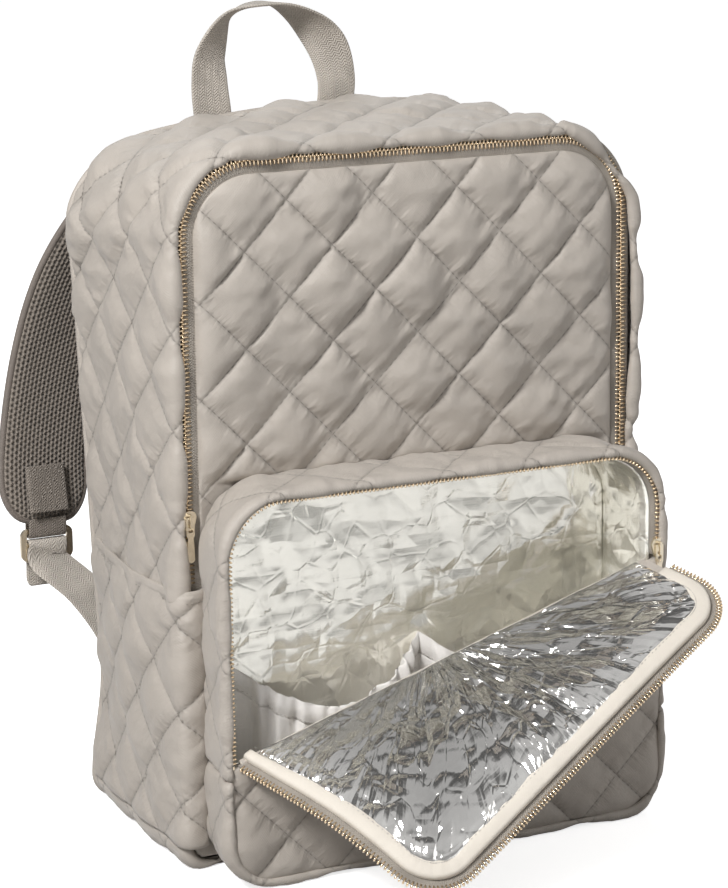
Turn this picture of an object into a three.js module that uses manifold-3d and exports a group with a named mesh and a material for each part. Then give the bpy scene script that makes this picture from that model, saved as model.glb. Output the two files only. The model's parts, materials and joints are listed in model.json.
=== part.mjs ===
// Quilted backpack diaper bag with a thermal front pocket, in millimetres, +Z up.
// The front faces -Y, the wearer's back is towards +Y, and the origin is the centre of the base.
// Soft pieces are plain solids of their true place and size, with a small gap between neighbours.
import * as THREE from 'three';
import { mergeVertices } from 'three/addons/utils/BufferGeometryUtils.js';
import Module from 'manifold-3d';

const wasm = await Module();
wasm.setup();

// ---- Driving dimensions ----
const GAP = 0.3;
const BODY_HALF = 150;
const BODY_HEIGHT = 412;
const BODY_RADIUS = 50;
const BASE_RADIUS = 26;
const FRONT_Y = -78;
const BACK_Y = 77.5;
const QUILT = 6;
const LINING = 1.2;

// The body's gusset runs between the zip on the front and the seam on the back panel.
const GUSSET_FRONT_Y = -75;
const GUSSET_BACK_Y = 70.3;

// A zip is two rows of teeth on tapes. Insets are measured in from the outline that carries it.
const TEETH_WIDTH = 1.5;
const TEETH_HALF_DEPTH = 0.95;
const TAPE_HALF_DEPTH = 0.5;
const ROW_GAP = 1.3;
const MAIN_CHAIN_INSET = 7.25;
const MAIN_CHAIN_Y = -76.6;
const MAIN_ZIP_BOTTOM = 167;
const OUTER_TAPE_EDGE = 0.4;
const INNER_TAPE_EDGE = 15.2;

// The front panel opens like a door, folding on a line just above the thermal pocket.
const DOOR_HINGE_Z = 239.5;
const DOOR_INSET = 15.5;

// The thermal pocket flares a little from its back seam to its front rim.
const POCKET_BACK_HALF = 134.5;
const POCKET_FRONT_HALF = 143.5;
const POCKET_TOP = 226;
const POCKET_BOTTOM = 2;
const POCKET_RADIUS = 37;
const POCKET_BASE_RADIUS = 28;
const POCKET_BACK_Y = -78.4;
const POCKET_FRONT_Y = -122.4;
const POCKET_WALL = 3.5;
const POCKET_SEAM_Z = 66;
const POCKET_CHAIN_INSET = 4.95;
const POCKET_CHAIN_Y = -123.6;

// The flap folds on a slanting line across the pocket's front, and curls on a second line.
const FOLD_LEFT_Z = 74;
const FOLD_RIGHT_Z = 158;
const FOLD_HALF = 138;
const FOLD_Y = -124;
const FOLD_OPEN = THREE.MathUtils.degToRad(112);
const CURL_OPEN = THREE.MathUtils.degToRad(21);
const CURL_REACH = 70;
const FLAP_REACH = 260;
const SLIDER_CLEARANCE = 13.3;
const TRIM_CLEARANCE = 1.4;

// Sliders rest at the low left end of the main zip and at the right end of the pocket zip.
const MAIN_SLIDER_Z = 206;
const POCKET_SLIDER_Z = 164.8;

const WEBBING = 25;
const WEBBING_THICK = 1.4;
const STRAP_WIDTH = 58;
const STRAP_THICK = 9;
const ARC_STEPS = 8;

// ---- Materials ----
const taupe = { color: 0xaea69c, roughness: 0.75, metalness: 0 };
const darkMesh = { color: 0x5c554e, roughness: 0.9, metalness: 0 };
const webbing = { color: 0xa69d92, roughness: 0.8, metalness: 0 };
const tape = { color: 0x716a61, roughness: 0.85, metalness: 0 };
const gold = { color: 0xc9b28a, roughness: 0.3, metalness: 1 };
const foil = { color: 0xcfccc8, roughness: 0.2, metalness: 0.9 };
const cream = { color: 0xe9e2d6, roughness: 0.8, metalness: 0 };
const holderCloth = { color: 0xd6d0c8, roughness: 0.8, metalness: 0 };
const liningCloth = { color: 0xcfc8bd, roughness: 0.8, metalness: 0 };
const foam = { color: 0xe6e2da, roughness: 0.95, metalness: 0 };
const board = { color: 0x3a3835, roughness: 0.6, metalness: 0 };

const bag = new THREE.Group();

function add(parent, name, geometry, material) {
  const mesh = new THREE.Mesh(geometry, new THREE.MeshStandardMaterial(material));
  mesh.name = name;
  parent.add(mesh);
  return mesh;
}

// ---- Solid helpers ----
function toSolid(geometry) {
  const bare = geometry.clone();
  bare.deleteAttribute('normal');
  bare.deleteAttribute('uv');
  const merged = mergeVertices(bare, 1e-4);
  return new wasm.Manifold(new wasm.Mesh({
    numProp: 3,
    vertProperties: new Float32Array(merged.attributes.position.array),
    triVerts: new Uint32Array(merged.index.array),
  }));
}

function toGeometry(solid) {
  const mesh = solid.getMesh();
  const geometry = new THREE.BufferGeometry();
  geometry.setAttribute('position', new THREE.BufferAttribute(mesh.vertProperties, 3));
  geometry.setIndex(new THREE.BufferAttribute(mesh.triVerts, 1));
  geometry.computeVertexNormals();
  return geometry;
}

const subtract = (a, b) => toGeometry(toSolid(a).subtract(toSolid(b)));
const intersect = (a, b) => toGeometry(toSolid(a).intersect(toSolid(b)));
const join = (list) => toGeometry(list.map(toSolid).reduce((a, b) => a.add(b)));

function boxBetween(x0, x1, y0, y1, z0, z1) {
  const geometry = new THREE.BoxGeometry(x1 - x0, y1 - y0, z1 - z0);
  return geometry.translate((x0 + x1) / 2, (y0 + y1) / 2, (z0 + z1) / 2);
}

function signedVolume(geometry) {
  const corners = geometry.index.array;
  const [a, b, c] = [new THREE.Vector3(), new THREE.Vector3(), new THREE.Vector3()];
  let volume = 0;
  for (let i = 0; i < corners.length; i += 3) {
    a.fromBufferAttribute(geometry.attributes.position, corners[i]);
    b.fromBufferAttribute(geometry.attributes.position, corners[i + 1]);
    c.fromBufferAttribute(geometry.attributes.position, corners[i + 2]);
    volume += a.dot(b.cross(c)) / 6;
  }
  return volume;
}

// A closed skin through convex rings that all have the same number of points.
function loft(rings) {
  const count = rings[0].length;
  const last = (rings.length - 1) * count;
  const index = [];
  for (let i = 0; i < rings.length - 1; i += 1) {
    for (let j = 0; j < count; j += 1) {
      const a = i * count + j;
      const b = i * count + ((j + 1) % count);
      index.push(a, b, b + count, a, b + count, a + count);
    }
  }
  for (let j = 1; j < count - 1; j += 1) {
    index.push(0, j + 1, j);
    index.push(last, last + j, last + j + 1);
  }
  const geometry = new THREE.BufferGeometry().setFromPoints(rings.flat());
  geometry.setIndex(index);
  if (signedVolume(geometry) < 0) {
    geometry.setIndex(index.reverse());
  }
  geometry.computeVertexNormals();
  return geometry;
}

// A flat band of the given width and thickness along a curve. across(t, along) is its width direction.
function ribbon(curve, steps, width, thickness, across) {
  const rings = [];
  for (let i = 0; i <= steps; i += 1) {
    const t = i / steps;
    const centre = curve.getPoint(t);
    const along = curve.getTangent(t);
    const wide = across(t, along);
    const side = wide.addScaledVector(along, -wide.dot(along)).normalize();
    const face = new THREE.Vector3().crossVectors(along, side);
    const corner = (s, f) => centre.clone().addScaledVector(side, (s * width(t)) / 2)
      .addScaledVector(face, (f * thickness) / 2);
    rings.push([corner(-1, -1), corner(1, -1), corner(1, 1), corner(-1, 1)]);
  }
  return loft(rings);
}

// ---- Outlines in the XZ plane ----
function arc(cx, cz, radius, fromDeg, toDeg) {
  const points = [];
  for (let i = 0; i <= ARC_STEPS; i += 1) {
    const angle = THREE.MathUtils.degToRad(fromDeg + ((toDeg - fromDeg) * i) / ARC_STEPS);
    points.push(new THREE.Vector2(cx + radius * Math.cos(angle), cz + radius * Math.sin(angle)));
  }
  return points;
}

// An open arch from its left foot over the crown to its right foot; a crown below the feet hangs.
function archPoints(arch, inset) {
  const up = Math.sign(arch.crown - arch.left);
  const half = arch.half - inset;
  const crown = arch.crown - up * inset;
  const radius = arch.radius - inset;
  const cz = crown - up * radius;
  return [
    new THREE.Vector2(-half, arch.left),
    ...arc(radius - half, cz, radius, 180, 180 - 90 * up),
    ...arc(half - radius, cz, radius, 90 * up, 0),
    new THREE.Vector2(half, arch.right),
  ];
}

// A closed panel with round corners.
function panelPoints(panel, inset) {
  const half = panel.half - inset;
  const top = panel.top - inset;
  const bottom = panel.bottom + inset;
  const r = panel.radius - inset;
  const b = panel.baseRadius - inset;
  return [
    ...arc(b - half, bottom + b, b, 270, 180),
    ...arc(r - half, top - r, r, 180, 90),
    ...arc(half - r, top - r, r, 90, 0),
    ...arc(half - b, bottom + b, b, 0, -90),
  ];
}

function plate(points, yFront, yBack) {
  const settings = { depth: yBack - yFront, bevelEnabled: false };
  const geometry = new THREE.ExtrudeGeometry(new THREE.Shape(points), settings);
  return geometry.rotateX(Math.PI / 2).translate(0, yBack, 0);
}

function archBand(arch, outerInset, innerInset, yFront, yBack) {
  const outline = [...archPoints(arch, outerInset), ...archPoints(arch, innerInset).reverse()];
  return plate(outline, yFront, yBack);
}

// A band whose outline differs between its back and front edges.
function flaredBand(back, front, wall, yBack, yFront) {
  const at = (point, y) => new THREE.Vector3(point.x, y, point.y);
  const outerBack = archPoints(back, 0);
  const outerFront = archPoints(front, 0);
  const innerBack = archPoints(back, wall);
  const innerFront = archPoints(front, wall);
  return loft(outerBack.map((point, i) => [
    at(point, yBack), at(outerFront[i], yFront), at(innerFront[i], yFront), at(innerBack[i], yBack),
  ]));
}

function flaredBlock(back, backInset, yBack, front, frontInset, yFront) {
  const ring = (panel, inset, y) => panelPoints(panel, inset)
    .map((point) => new THREE.Vector3(point.x, y, point.y));
  return loft([ring(back, backInset, yBack), ring(front, frontInset, yFront)]);
}

// ---- Body shell ----
const bodyPanel = {
  half: BODY_HALF, top: BODY_HEIGHT, bottom: 0, radius: BODY_RADIUS, baseRadius: BASE_RADIUS,
};
const bodyArch = {
  half: BODY_HALF, crown: BODY_HEIGHT, radius: BODY_RADIUS,
  left: BASE_RADIUS + 2 * GAP, right: BASE_RADIUS + 2 * GAP,
};
const baseArch = {
  half: BODY_HALF, crown: 0, radius: BASE_RADIUS,
  left: BASE_RADIUS + GAP, right: BASE_RADIUS + GAP,
};

function buildShell() {
  add(bag, 'body_gusset', archBand(bodyArch, 0, QUILT, GUSSET_FRONT_Y, GUSSET_BACK_Y), taupe);
  add(bag, 'bottom_panel', archBand(baseArch, 0, QUILT, GUSSET_FRONT_Y, GUSSET_BACK_Y), taupe);
  add(bag, 'back_panel', plate(panelPoints(bodyPanel, 1), GUSSET_BACK_Y + GAP, BACK_Y), darkMesh);
  const foamFront = GUSSET_BACK_Y - 4;
  add(bag, 'back_foam', plate(panelPoints(bodyPanel, 20), foamFront, GUSSET_BACK_Y), foam);
  const boardTop = QUILT + 3;
  add(bag, 'base_board', boxBetween(-120, 120, -70, 62, QUILT + GAP, boardTop), board);

  // The fixed front panel behind the pocket narrows where the zip ends run beside it.
  const low = BODY_HALF - QUILT - 0.4;
  const high = BODY_HALF - DOOR_INSET;
  const shoulder = MAIN_ZIP_BOTTOM - 7;
  const corner = BASE_RADIUS - QUILT - GAP;
  const outline = [
    new THREE.Vector2(-high, DOOR_HINGE_Z - GAP), new THREE.Vector2(high, DOOR_HINGE_Z - GAP),
    new THREE.Vector2(high, shoulder), new THREE.Vector2(low, shoulder),
    ...arc(low - corner, QUILT + GAP + corner, corner, 0, -90),
    ...arc(corner - low, QUILT + GAP + corner, corner, 270, 180),
    new THREE.Vector2(-low, shoulder), new THREE.Vector2(-high, shoulder),
  ];
  add(bag, 'front_lower_panel', plate(outline.reverse(), FRONT_Y, FRONT_Y + QUILT), taupe);

  const liningPanel = {
    half: BODY_HALF - QUILT - GAP, top: BODY_HEIGHT - QUILT - GAP, bottom: boardTop + GAP,
    radius: BODY_RADIUS - QUILT - GAP, baseRadius: 18,
  };
  const liningFront = FRONT_Y + QUILT + LINING + 2 * GAP;
  const liningOuter = plate(panelPoints(liningPanel, 0), liningFront, foamFront - GAP);
  const liningInner = plate(panelPoints(liningPanel, LINING), liningFront - 5, foamFront - GAP - LINING);
  add(bag, 'main_lining', subtract(liningOuter, liningInner), liningCloth);

  // A flat pocket on the lining's back wall, open at its top.
  const wallY = foamFront - 2 * GAP - LINING;
  const slipOuter = boxBetween(-110, 110, wallY - 10, wallY, 14, 232);
  const slipInner = boxBetween(-108.5, 108.5, wallY - 8.5, wallY + 5, 15.5, 240);
  add(bag, 'inner_slip_pocket', subtract(slipOuter, slipInner), liningCloth);
}

// ---- Side pockets: a bulged sheet closed along its bottom, with a bound elastic top edge ----
function sidePocketPlan(bulge, yFront, yBack) {
  const shape = new THREE.Shape();
  shape.moveTo(yFront, 0);
  shape.bezierCurveTo(yFront + 12, bulge * 1.2, yBack - 12, bulge * 1.2, yBack, 0);
  shape.lineTo(yBack, -3);
  shape.lineTo(yFront, -3);
  return shape;
}

function sidePocketSolid(bulge, inset, z0, z1) {
  const plan = sidePocketPlan(bulge - inset, GUSSET_FRONT_Y + 3 + inset, GUSSET_BACK_Y - 4 - inset);
  const geometry = new THREE.ExtrudeGeometry(plan, { depth: z1 - z0, bevelEnabled: false });
  return geometry.rotateZ(Math.PI / 2).translate(-BODY_HALF - GAP, 0, z0);
}

function buildSidePocket(side, mirror) {
  const outside = boxBetween(-BODY_HALF - 40, -BODY_HALF - GAP, -90, 90, 0, 200);
  const sheet = subtract(
    intersect(sidePocketSolid(13, 0, 28, 160), outside), sidePocketSolid(13, 3, 31, 170));
  const band = subtract(
    intersect(sidePocketSolid(13.6, 0, 160 + GAP, 167), outside), sidePocketSolid(13, 3, 150, 180));
  for (const [name, geometry, material] of [
    [`${side}_side_pocket`, sheet, taupe], [`${side}_side_pocket_binding`, band, taupe],
  ]) {
    add(bag, name, mirror ? mirrored(geometry) : geometry, material);
  }
}

// The mirror image in X, with its faces turned so that they still point out.
function mirrored(geometry) {
  const copy = geometry.index ? geometry.clone() : mergeVertices(geometry);
  copy.scale(-1, 1, 1);
  copy.setIndex([...copy.index.array].reverse());
  copy.computeVertexNormals();
  return copy;
}

// ---- Main zip and the front door ----
const mainArch = { ...bodyArch, left: MAIN_ZIP_BOTTOM, right: MAIN_ZIP_BOTTOM };
const doorArch = { ...bodyArch, left: DOOR_HINGE_Z + GAP, right: DOOR_HINGE_Z + GAP };

function zipBand(arch, from, to, chainY, halfDepth) {
  return archBand(arch, from, to, chainY - halfDepth, chainY + halfDepth);
}

function buildMainZip() {
  const outerRow = MAIN_CHAIN_INSET - ROW_GAP / 2;
  const innerRow = MAIN_CHAIN_INSET + ROW_GAP / 2;
  const outerTape = outerRow - TEETH_WIDTH - GAP;
  const innerTape = innerRow + TEETH_WIDTH + GAP;
  const y = MAIN_CHAIN_Y;
  add(bag, 'main_zip_outer_tape',
    zipBand(mainArch, OUTER_TAPE_EDGE, outerTape, y, TAPE_HALF_DEPTH), tape);
  add(bag, 'main_zip_outer_teeth',
    zipBand(mainArch, outerRow - TEETH_WIDTH, outerRow, y, TEETH_HALF_DEPTH), gold);
  add(bag, 'main_zip_inner_tape',
    zipBand(doorArch, innerTape, INNER_TAPE_EDGE, y, TAPE_HALF_DEPTH), tape);
  add(bag, 'main_zip_inner_teeth',
    zipBand(doorArch, innerRow, innerRow + TEETH_WIDTH, y, TEETH_HALF_DEPTH), gold);

  // Below the fold line the inner row stays on the body.
  const x0 = -BODY_HALF + innerRow;
  const x1 = -BODY_HALF + INNER_TAPE_EDGE;
  const end = boxBetween(x0, x1, y - TAPE_HALF_DEPTH, y + TAPE_HALF_DEPTH,
    MAIN_ZIP_BOTTOM, DOOR_HINGE_Z - GAP);
  add(bag, 'main_zip_end_left', end, tape);
  add(bag, 'main_zip_end_right', mirrored(end), tape);
}

function buildDoor() {
  const backY = FRONT_Y + QUILT;
  const door = archDoor(DOOR_INSET);
  add(bag, 'front_door_panel', plate(door, FRONT_Y, backY), taupe);
  add(bag, 'front_door_lining', plate(archDoor(DOOR_INSET + 1), backY + GAP, backY + GAP + 1), liningCloth);
}

function archDoor(inset) {
  return archPoints(doorArch, inset);
}

// ---- Zip sliders and pulls, drawn round the middle of the teeth ----
function sliderGeometry() {
  const face = TEETH_HALF_DEPTH + 0.35;
  const front = face + 1.6;
  const body = new THREE.Shape();
  body.moveTo(-2.6, -5.5);
  body.lineTo(2.6, -5.5);
  body.lineTo(4.5, 1.5);
  body.quadraticCurveTo(4.5, 5.5, 0, 5.5);
  body.quadraticCurveTo(-4.5, 5.5, -4.5, 1.5);
  return join([
    plate(body.getPoints(6), -front, -face),
    boxBetween(-0.3, 0.3, -face - 0.5, face + 0.5, 0.5, 5),
    boxBetween(-0.9, 0.9, face, face + 0.9, -5, 5),
    boxBetween(-0.7, 0.7, -front - 3, -front + 0.5, -3.8, -2.6),
    boxBetween(-0.7, 0.7, -front - 3, -front + 0.5, 2.6, 3.8),
    boxBetween(-0.7, 0.7, -front - 3, -front - 1.8, -3.8, 3.8),
  ]);
}

function pullGeometry() {
  const outline = new THREE.Shape();
  outline.moveTo(-2.5, 2.2);
  outline.lineTo(-2.5, -8);
  outline.lineTo(-1.7, -10);
  outline.lineTo(-2.3, -21);
  outline.absarc(0, -21.7, 2.3, Math.PI, 2 * Math.PI, false);
  outline.lineTo(1.7, -10);
  outline.lineTo(2.5, -8);
  outline.lineTo(2.5, 2.2);
  const eye = new THREE.Path();
  eye.moveTo(-1.3, 1);
  eye.lineTo(1.3, 1);
  eye.lineTo(1.3, -6.5);
  eye.lineTo(-1.3, -6.5);
  outline.holes.push(eye);
  const settings = { depth: 1.2, bevelEnabled: false, curveSegments: 6 };
  const middle = TEETH_HALF_DEPTH + 0.35 + 1.6 + 0.9;
  return new THREE.ExtrudeGeometry(outline, settings).rotateX(Math.PI / 2).translate(0, 0.6 - middle, 0);
}

function buildSliders() {
  const mainX = -BODY_HALF + MAIN_CHAIN_INSET;
  const pocketX = POCKET_FRONT_HALF - POCKET_CHAIN_INSET;
  const places = [
    ['main_zip', mainX, MAIN_CHAIN_Y, MAIN_SLIDER_Z],
    ['pocket_zip', pocketX, POCKET_CHAIN_Y, POCKET_SLIDER_Z],
  ];
  for (const [zip, x, y, z] of places) {
    add(bag, `${zip}_slider`, sliderGeometry(), gold).position.set(x, y, z);
    add(bag, `${zip}_pull`, pullGeometry(), gold).position.set(x, y, z);
  }
}

// ---- Thermal pocket ----
const backArch = {
  half: POCKET_BACK_HALF, crown: POCKET_TOP, radius: POCKET_RADIUS,
  left: POCKET_SEAM_Z + GAP, right: POCKET_SEAM_Z + GAP,
};
const frontArch = { ...backArch, half: POCKET_FRONT_HALF };
const lowBackArch = {
  ...backArch, crown: POCKET_BOTTOM, radius: POCKET_BASE_RADIUS,
  left: POCKET_SEAM_Z, right: POCKET_SEAM_Z,
};
const lowFrontArch = { ...lowBackArch, half: POCKET_FRONT_HALF };
const backRim = {
  half: POCKET_BACK_HALF, top: POCKET_TOP, bottom: POCKET_BOTTOM,
  radius: POCKET_RADIUS, baseRadius: POCKET_BASE_RADIUS,
};
const frontRim = { ...backRim, half: POCKET_FRONT_HALF };

// Along the fold line, and up the closed flap away from it.
const foldAngle = Math.atan2(FOLD_RIGHT_Z - FOLD_LEFT_Z, 2 * FOLD_HALF);
const foldPoint = new THREE.Vector3(0, FOLD_Y, (FOLD_LEFT_Z + FOLD_RIGHT_Z) / 2);
const foldAxis = new THREE.Vector3(Math.cos(foldAngle), 0, Math.sin(foldAngle));
const flapUp = new THREE.Vector3(-Math.sin(foldAngle), 0, Math.cos(foldAngle));

// A slab between two distances up from the fold line, limited to one side of X if asked.
function foldSlab(from, to, xFrom = -300, xTo = 300) {
  const slab = new THREE.BoxGeometry(900, 60, to - from);
  slab.translate(0, 0, (from + to) / 2).rotateY(-foldAngle);
  slab.translate(foldPoint.x, FOLD_Y, foldPoint.z);
  return intersect(slab, boxBetween(xFrom, xTo, FOLD_Y - 30, FOLD_Y + 30, -100, 500));
}

function buildThermalPocket() {
  add(bag, 'pocket_gusset',
    flaredBand(backArch, frontArch, POCKET_WALL, POCKET_BACK_Y, POCKET_FRONT_Y), taupe);
  add(bag, 'pocket_gusset_lower',
    flaredBand(lowBackArch, lowFrontArch, POCKET_WALL, POCKET_BACK_Y, POCKET_FRONT_Y), taupe);

  const below = foldSlab(-FLAP_REACH, -GAP / 2);
  const front = plate(panelPoints(frontRim, POCKET_WALL + 1.1), FOLD_Y, FOLD_Y + 4);
  add(bag, 'pocket_front_lower', intersect(front, below), taupe);
  const inner = plate(panelPoints(frontRim, POCKET_WALL + 2), FOLD_Y + 4 + GAP, FOLD_Y + 5 + GAP);
  add(bag, 'pocket_front_lower_lining', intersect(inner, below), foil);

  const linerWall = 1.5;
  const linerFrontY = -117.5;
  const linerOuter = flaredBlock(backRim, POCKET_WALL + GAP, POCKET_BACK_Y - 0.1,
    frontRim, POCKET_WALL + GAP + 1.2, linerFrontY);
  const linerInner = flaredBlock(backRim, POCKET_WALL + GAP + linerWall, POCKET_BACK_Y - 0.1 - linerWall,
    frontRim, POCKET_WALL + GAP + 1.2 + linerWall, linerFrontY - 0.5);
  add(bag, 'pocket_foil_liner', subtract(linerOuter, linerInner), foil);
}

// Two gathered loops on the back wall that hold bottles upright.
function holderWall(thickness, bottomAt, topAt) {
  const wallY = POCKET_BACK_Y - 2.6;
  const steps = 28;
  const plan = (t) => {
    const wave = Math.abs(Math.sin(Math.PI * t * 2));
    return new THREE.Vector2(-126 + 252 * t, wallY - 1.4 - 26 * wave ** 0.8);
  };
  const rings = [];
  for (let i = 0; i <= steps; i += 1) {
    const t = i / steps;
    const here = plan(t);
    const turn = plan(Math.min(1, t + 0.01)).sub(plan(Math.max(0, t - 0.01))).normalize();
    const normal = new THREE.Vector2(-turn.y, turn.x).multiplyScalar(thickness / 2);
    const at = (side, z) => new THREE.Vector3(here.x + side * normal.x, here.y + side * normal.y, z);
    const dip = 29 * Math.abs(Math.sin(Math.PI * t * 2));
    rings.push([at(1, bottomAt(dip)), at(1, topAt(dip)), at(-1, topAt(dip)), at(-1, bottomAt(dip))]);
  }
  return loft(rings);
}

function buildBottleHolder() {
  const casing = 12;
  const peak = 123;
  const foot = 22;
  add(bag, 'bottle_holder', holderWall(1.4, () => foot, (dip) => peak - dip - casing - GAP), holderCloth);
  add(bag, 'bottle_holder_elastic', holderWall(2.2, (dip) => peak - dip - casing, (dip) => peak - dip),
    holderCloth);
}

const fixedRow = POCKET_CHAIN_INSET - ROW_GAP / 2;
const flapRow = POCKET_CHAIN_INSET + ROW_GAP / 2;

function buildPocketZip() {
  const arch = { ...frontArch, left: FOLD_LEFT_Z + 1, right: FOLD_RIGHT_Z };
  const y = POCKET_CHAIN_Y;
  add(bag, 'pocket_zip_tape',
    zipBand(arch, GAP, fixedRow - TEETH_WIDTH - GAP, y, TAPE_HALF_DEPTH), tape);
  add(bag, 'pocket_zip_teeth',
    zipBand(arch, fixedRow - TEETH_WIDTH, fixedRow, y, TEETH_HALF_DEPTH), gold);
  const stopX = -POCKET_FRONT_HALF + fixedRow;
  add(bag, 'pocket_zip_stop', boxBetween(stopX - TEETH_WIDTH, stopX, y - TEETH_HALF_DEPTH,
    y + TEETH_HALF_DEPTH, FOLD_LEFT_Z - 4, FOLD_LEFT_Z + 1 - GAP), gold);
}

// ---- Flap: modelled closed, then opened on its two fold lines ----
function hingeGroup(parent, point, angle) {
  const turned = new THREE.Group();
  turned.position.copy(point);
  turned.quaternion.setFromAxisAngle(foldAxis, angle);
  parent.add(turned);
  const content = new THREE.Group();
  content.position.copy(point).negate();
  turned.add(content);
  return content;
}

function buildFlap() {
  const curlPoint = foldPoint.clone().addScaledVector(flapUp, CURL_REACH);
  const base = hingeGroup(bag, foldPoint, FOLD_OPEN);
  const tip = hingeGroup(base, curlPoint, CURL_OPEN);

  const coverInset = flapRow + TEETH_WIDTH + 6.2;
  const cover = plate(panelPoints(frontRim, coverInset), FOLD_Y, FOLD_Y + 3.5);
  const lining = plate(panelPoints(frontRim, coverInset), FOLD_Y + 3.8, FOLD_Y + 4.8);
  const baseSlab = foldSlab(GAP / 2, CURL_REACH - GAP / 2);
  const tipSlab = foldSlab(CURL_REACH + GAP / 2, FLAP_REACH);
  add(base, 'flap_base_cover', intersect(cover, baseSlab), taupe);
  add(base, 'flap_base_lining', intersect(lining, baseSlab), foil);
  add(tip, 'flap_tip_cover', intersect(cover, tipSlab), taupe);
  add(tip, 'flap_tip_lining', intersect(lining, tipSlab), foil);

  // The edge trims, each cut at the curl line and kept clear of the parked slider.
  const arch = { ...frontArch, left: 20, right: 20 };
  const y = POCKET_CHAIN_Y;
  const bindingY = FOLD_Y + 5.7;
  const trims = [
    ['teeth', zipBand(arch, flapRow, flapRow + TEETH_WIDTH, y, TEETH_HALF_DEPTH), gold],
    ['tape', zipBand(arch, flapRow + TEETH_WIDTH + GAP, coverInset - GAP, y, TAPE_HALF_DEPTH), tape],
    ['binding', zipBand(arch, flapRow + 3, flapRow + 12, bindingY, TAPE_HALF_DEPTH), cream],
  ];
  const leftSlab = foldSlab(TRIM_CLEARANCE, CURL_REACH - GAP / 2, -300, 0);
  const rightSlab = foldSlab(SLIDER_CLEARANCE, CURL_REACH - GAP / 2, 0, 300);
  for (const [trim, band, material] of trims) {
    add(base, `flap_base_${trim}_left`, intersect(band, leftSlab), material);
    add(base, `flap_base_${trim}_right`, intersect(band, rightSlab), material);
    add(tip, `flap_tip_${trim}`, intersect(band, tipSlab), material);
  }
}

// ---- Grab handle: webbing sewn flat into the back seam, turning a half twist over its top ----
function buildHandle() {
  const foot = BODY_HEIGHT + 1.6;
  const y = 76;
  const route = new THREE.CatmullRomCurve3([
    new THREE.Vector3(-43, y, foot), new THREE.Vector3(-47, y, foot + 20),
    new THREE.Vector3(-49, y, foot + 40), new THREE.Vector3(-32, y, foot + 60),
    new THREE.Vector3(0, y, foot + 66), new THREE.Vector3(32, y, foot + 60),
    new THREE.Vector3(49, y, foot + 40), new THREE.Vector3(47, y, foot + 20),
    new THREE.Vector3(43, y, foot),
  ], false, 'centripetal');
  const across = (t) => new THREE.Vector3(Math.cos(Math.PI * t), Math.sin(Math.PI * t), 0);
  add(bag, 'top_handle', ribbon(route, 32, () => WEBBING, 2, across), webbing);
}

// ---- Shoulder straps ----
const BUCKLE_X = -151;
const BUCKLE_Y = 119.25;
const BUCKLE_Z = 151.5;

function buckleGeometry() {
  const shape = new THREE.Shape(panelPoints(
    { half: 17, top: BUCKLE_Z + 10.5, bottom: BUCKLE_Z - 10.5, radius: 5, baseRadius: 5 }, 0));
  for (const z of [BUCKLE_Z - 7.5, BUCKLE_Z + 1.3]) {
    shape.holes.push(new THREE.Path([
      new THREE.Vector2(-13.2, z), new THREE.Vector2(13.2, z),
      new THREE.Vector2(13.2, z + 6.2), new THREE.Vector2(-13.2, z + 6.2),
    ]));
  }
  const frame = new THREE.ExtrudeGeometry(shape, { depth: 2.5, bevelEnabled: false });
  return frame.rotateX(Math.PI / 2).translate(BUCKLE_X, BUCKLE_Y + 1.25, 0);
}

function strapPieces() {
  const outward = new THREE.Vector3(-0.12, 1, 0.1);
  const across = (t, along) => new THREE.Vector3().crossVectors(outward, along);
  const route = new THREE.CatmullRomCurve3([
    new THREE.Vector3(-48, 91, 376), new THREE.Vector3(-74, 104, 370),
    new THREE.Vector3(-104, 117, 350), new THREE.Vector3(-131, 128, 308),
    new THREE.Vector3(-145, 131, 262), new THREE.Vector3(-151, 127, 208),
    new THREE.Vector3(-151, 119.25, 166.5),
  ], false, 'centripetal');
  const padWidth = (t) => 48 + (STRAP_WIDTH - 48) * Math.min(1, t * 3);
  const inner = new THREE.CatmullRomCurve3([
    new THREE.Vector3(-151, 118.4, 200), new THREE.Vector3(-151, 113, 174),
  ]);
  const [x, y, z] = [BUCKLE_X, BUCKLE_Y, BUCKLE_Z];
  const loopRoute = new THREE.CatmullRomCurve3([
    new THREE.Vector3(x, y + 3, z + 14), new THREE.Vector3(x, y + 3, z + 8),
    new THREE.Vector3(x, y, z + 5.2), new THREE.Vector3(x, y - 3, z + 8),
    new THREE.Vector3(x, y - 3, z + 14),
  ], false, 'centripetal');
  const lowerRoute = new THREE.CatmullRomCurve3([
    new THREE.Vector3(-112, 82.2, 30), new THREE.Vector3(-113, 84, 58),
    new THREE.Vector3(-121, 93, 92), new THREE.Vector3(-136, 105.5, 121),
    new THREE.Vector3(x, y - 3.2, z - 9), new THREE.Vector3(x, y - 3, z),
    new THREE.Vector3(x, y, z + 3.1), new THREE.Vector3(x, y + 3, z),
    new THREE.Vector3(x, y + 3.2, z - 9), new THREE.Vector3(x, y + 4, z - 27),
  ], false, 'centripetal');
  const flat = () => new THREE.Vector3(1, 0, 0);
  return [
    ['strap_pad', ribbon(route, 24, padWidth, STRAP_THICK, across), darkMesh],
    ['strap_patch', ribbon(inner, 2, () => WEBBING + 2, 1.4, flat), webbing],
    ['strap_loop', ribbon(loopRoute, 12, () => WEBBING, WEBBING_THICK, flat), webbing],
    ['strap_buckle', buckleGeometry(), gold],
    ['strap_webbing', ribbon(lowerRoute, 48, () => WEBBING, WEBBING_THICK, flat), webbing],
  ];
}

function buildStraps() {
  for (const [piece, geometry, material] of strapPieces()) {
    add(bag, `left_${piece}`, geometry, material);
    add(bag, `right_${piece}`, mirrored(geometry), material);
  }
  add(bag, 'strap_yoke', boxBetween(-76, 76, BACK_Y + GAP, BACK_Y + 2, 380, 404), webbing);
}

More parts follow.
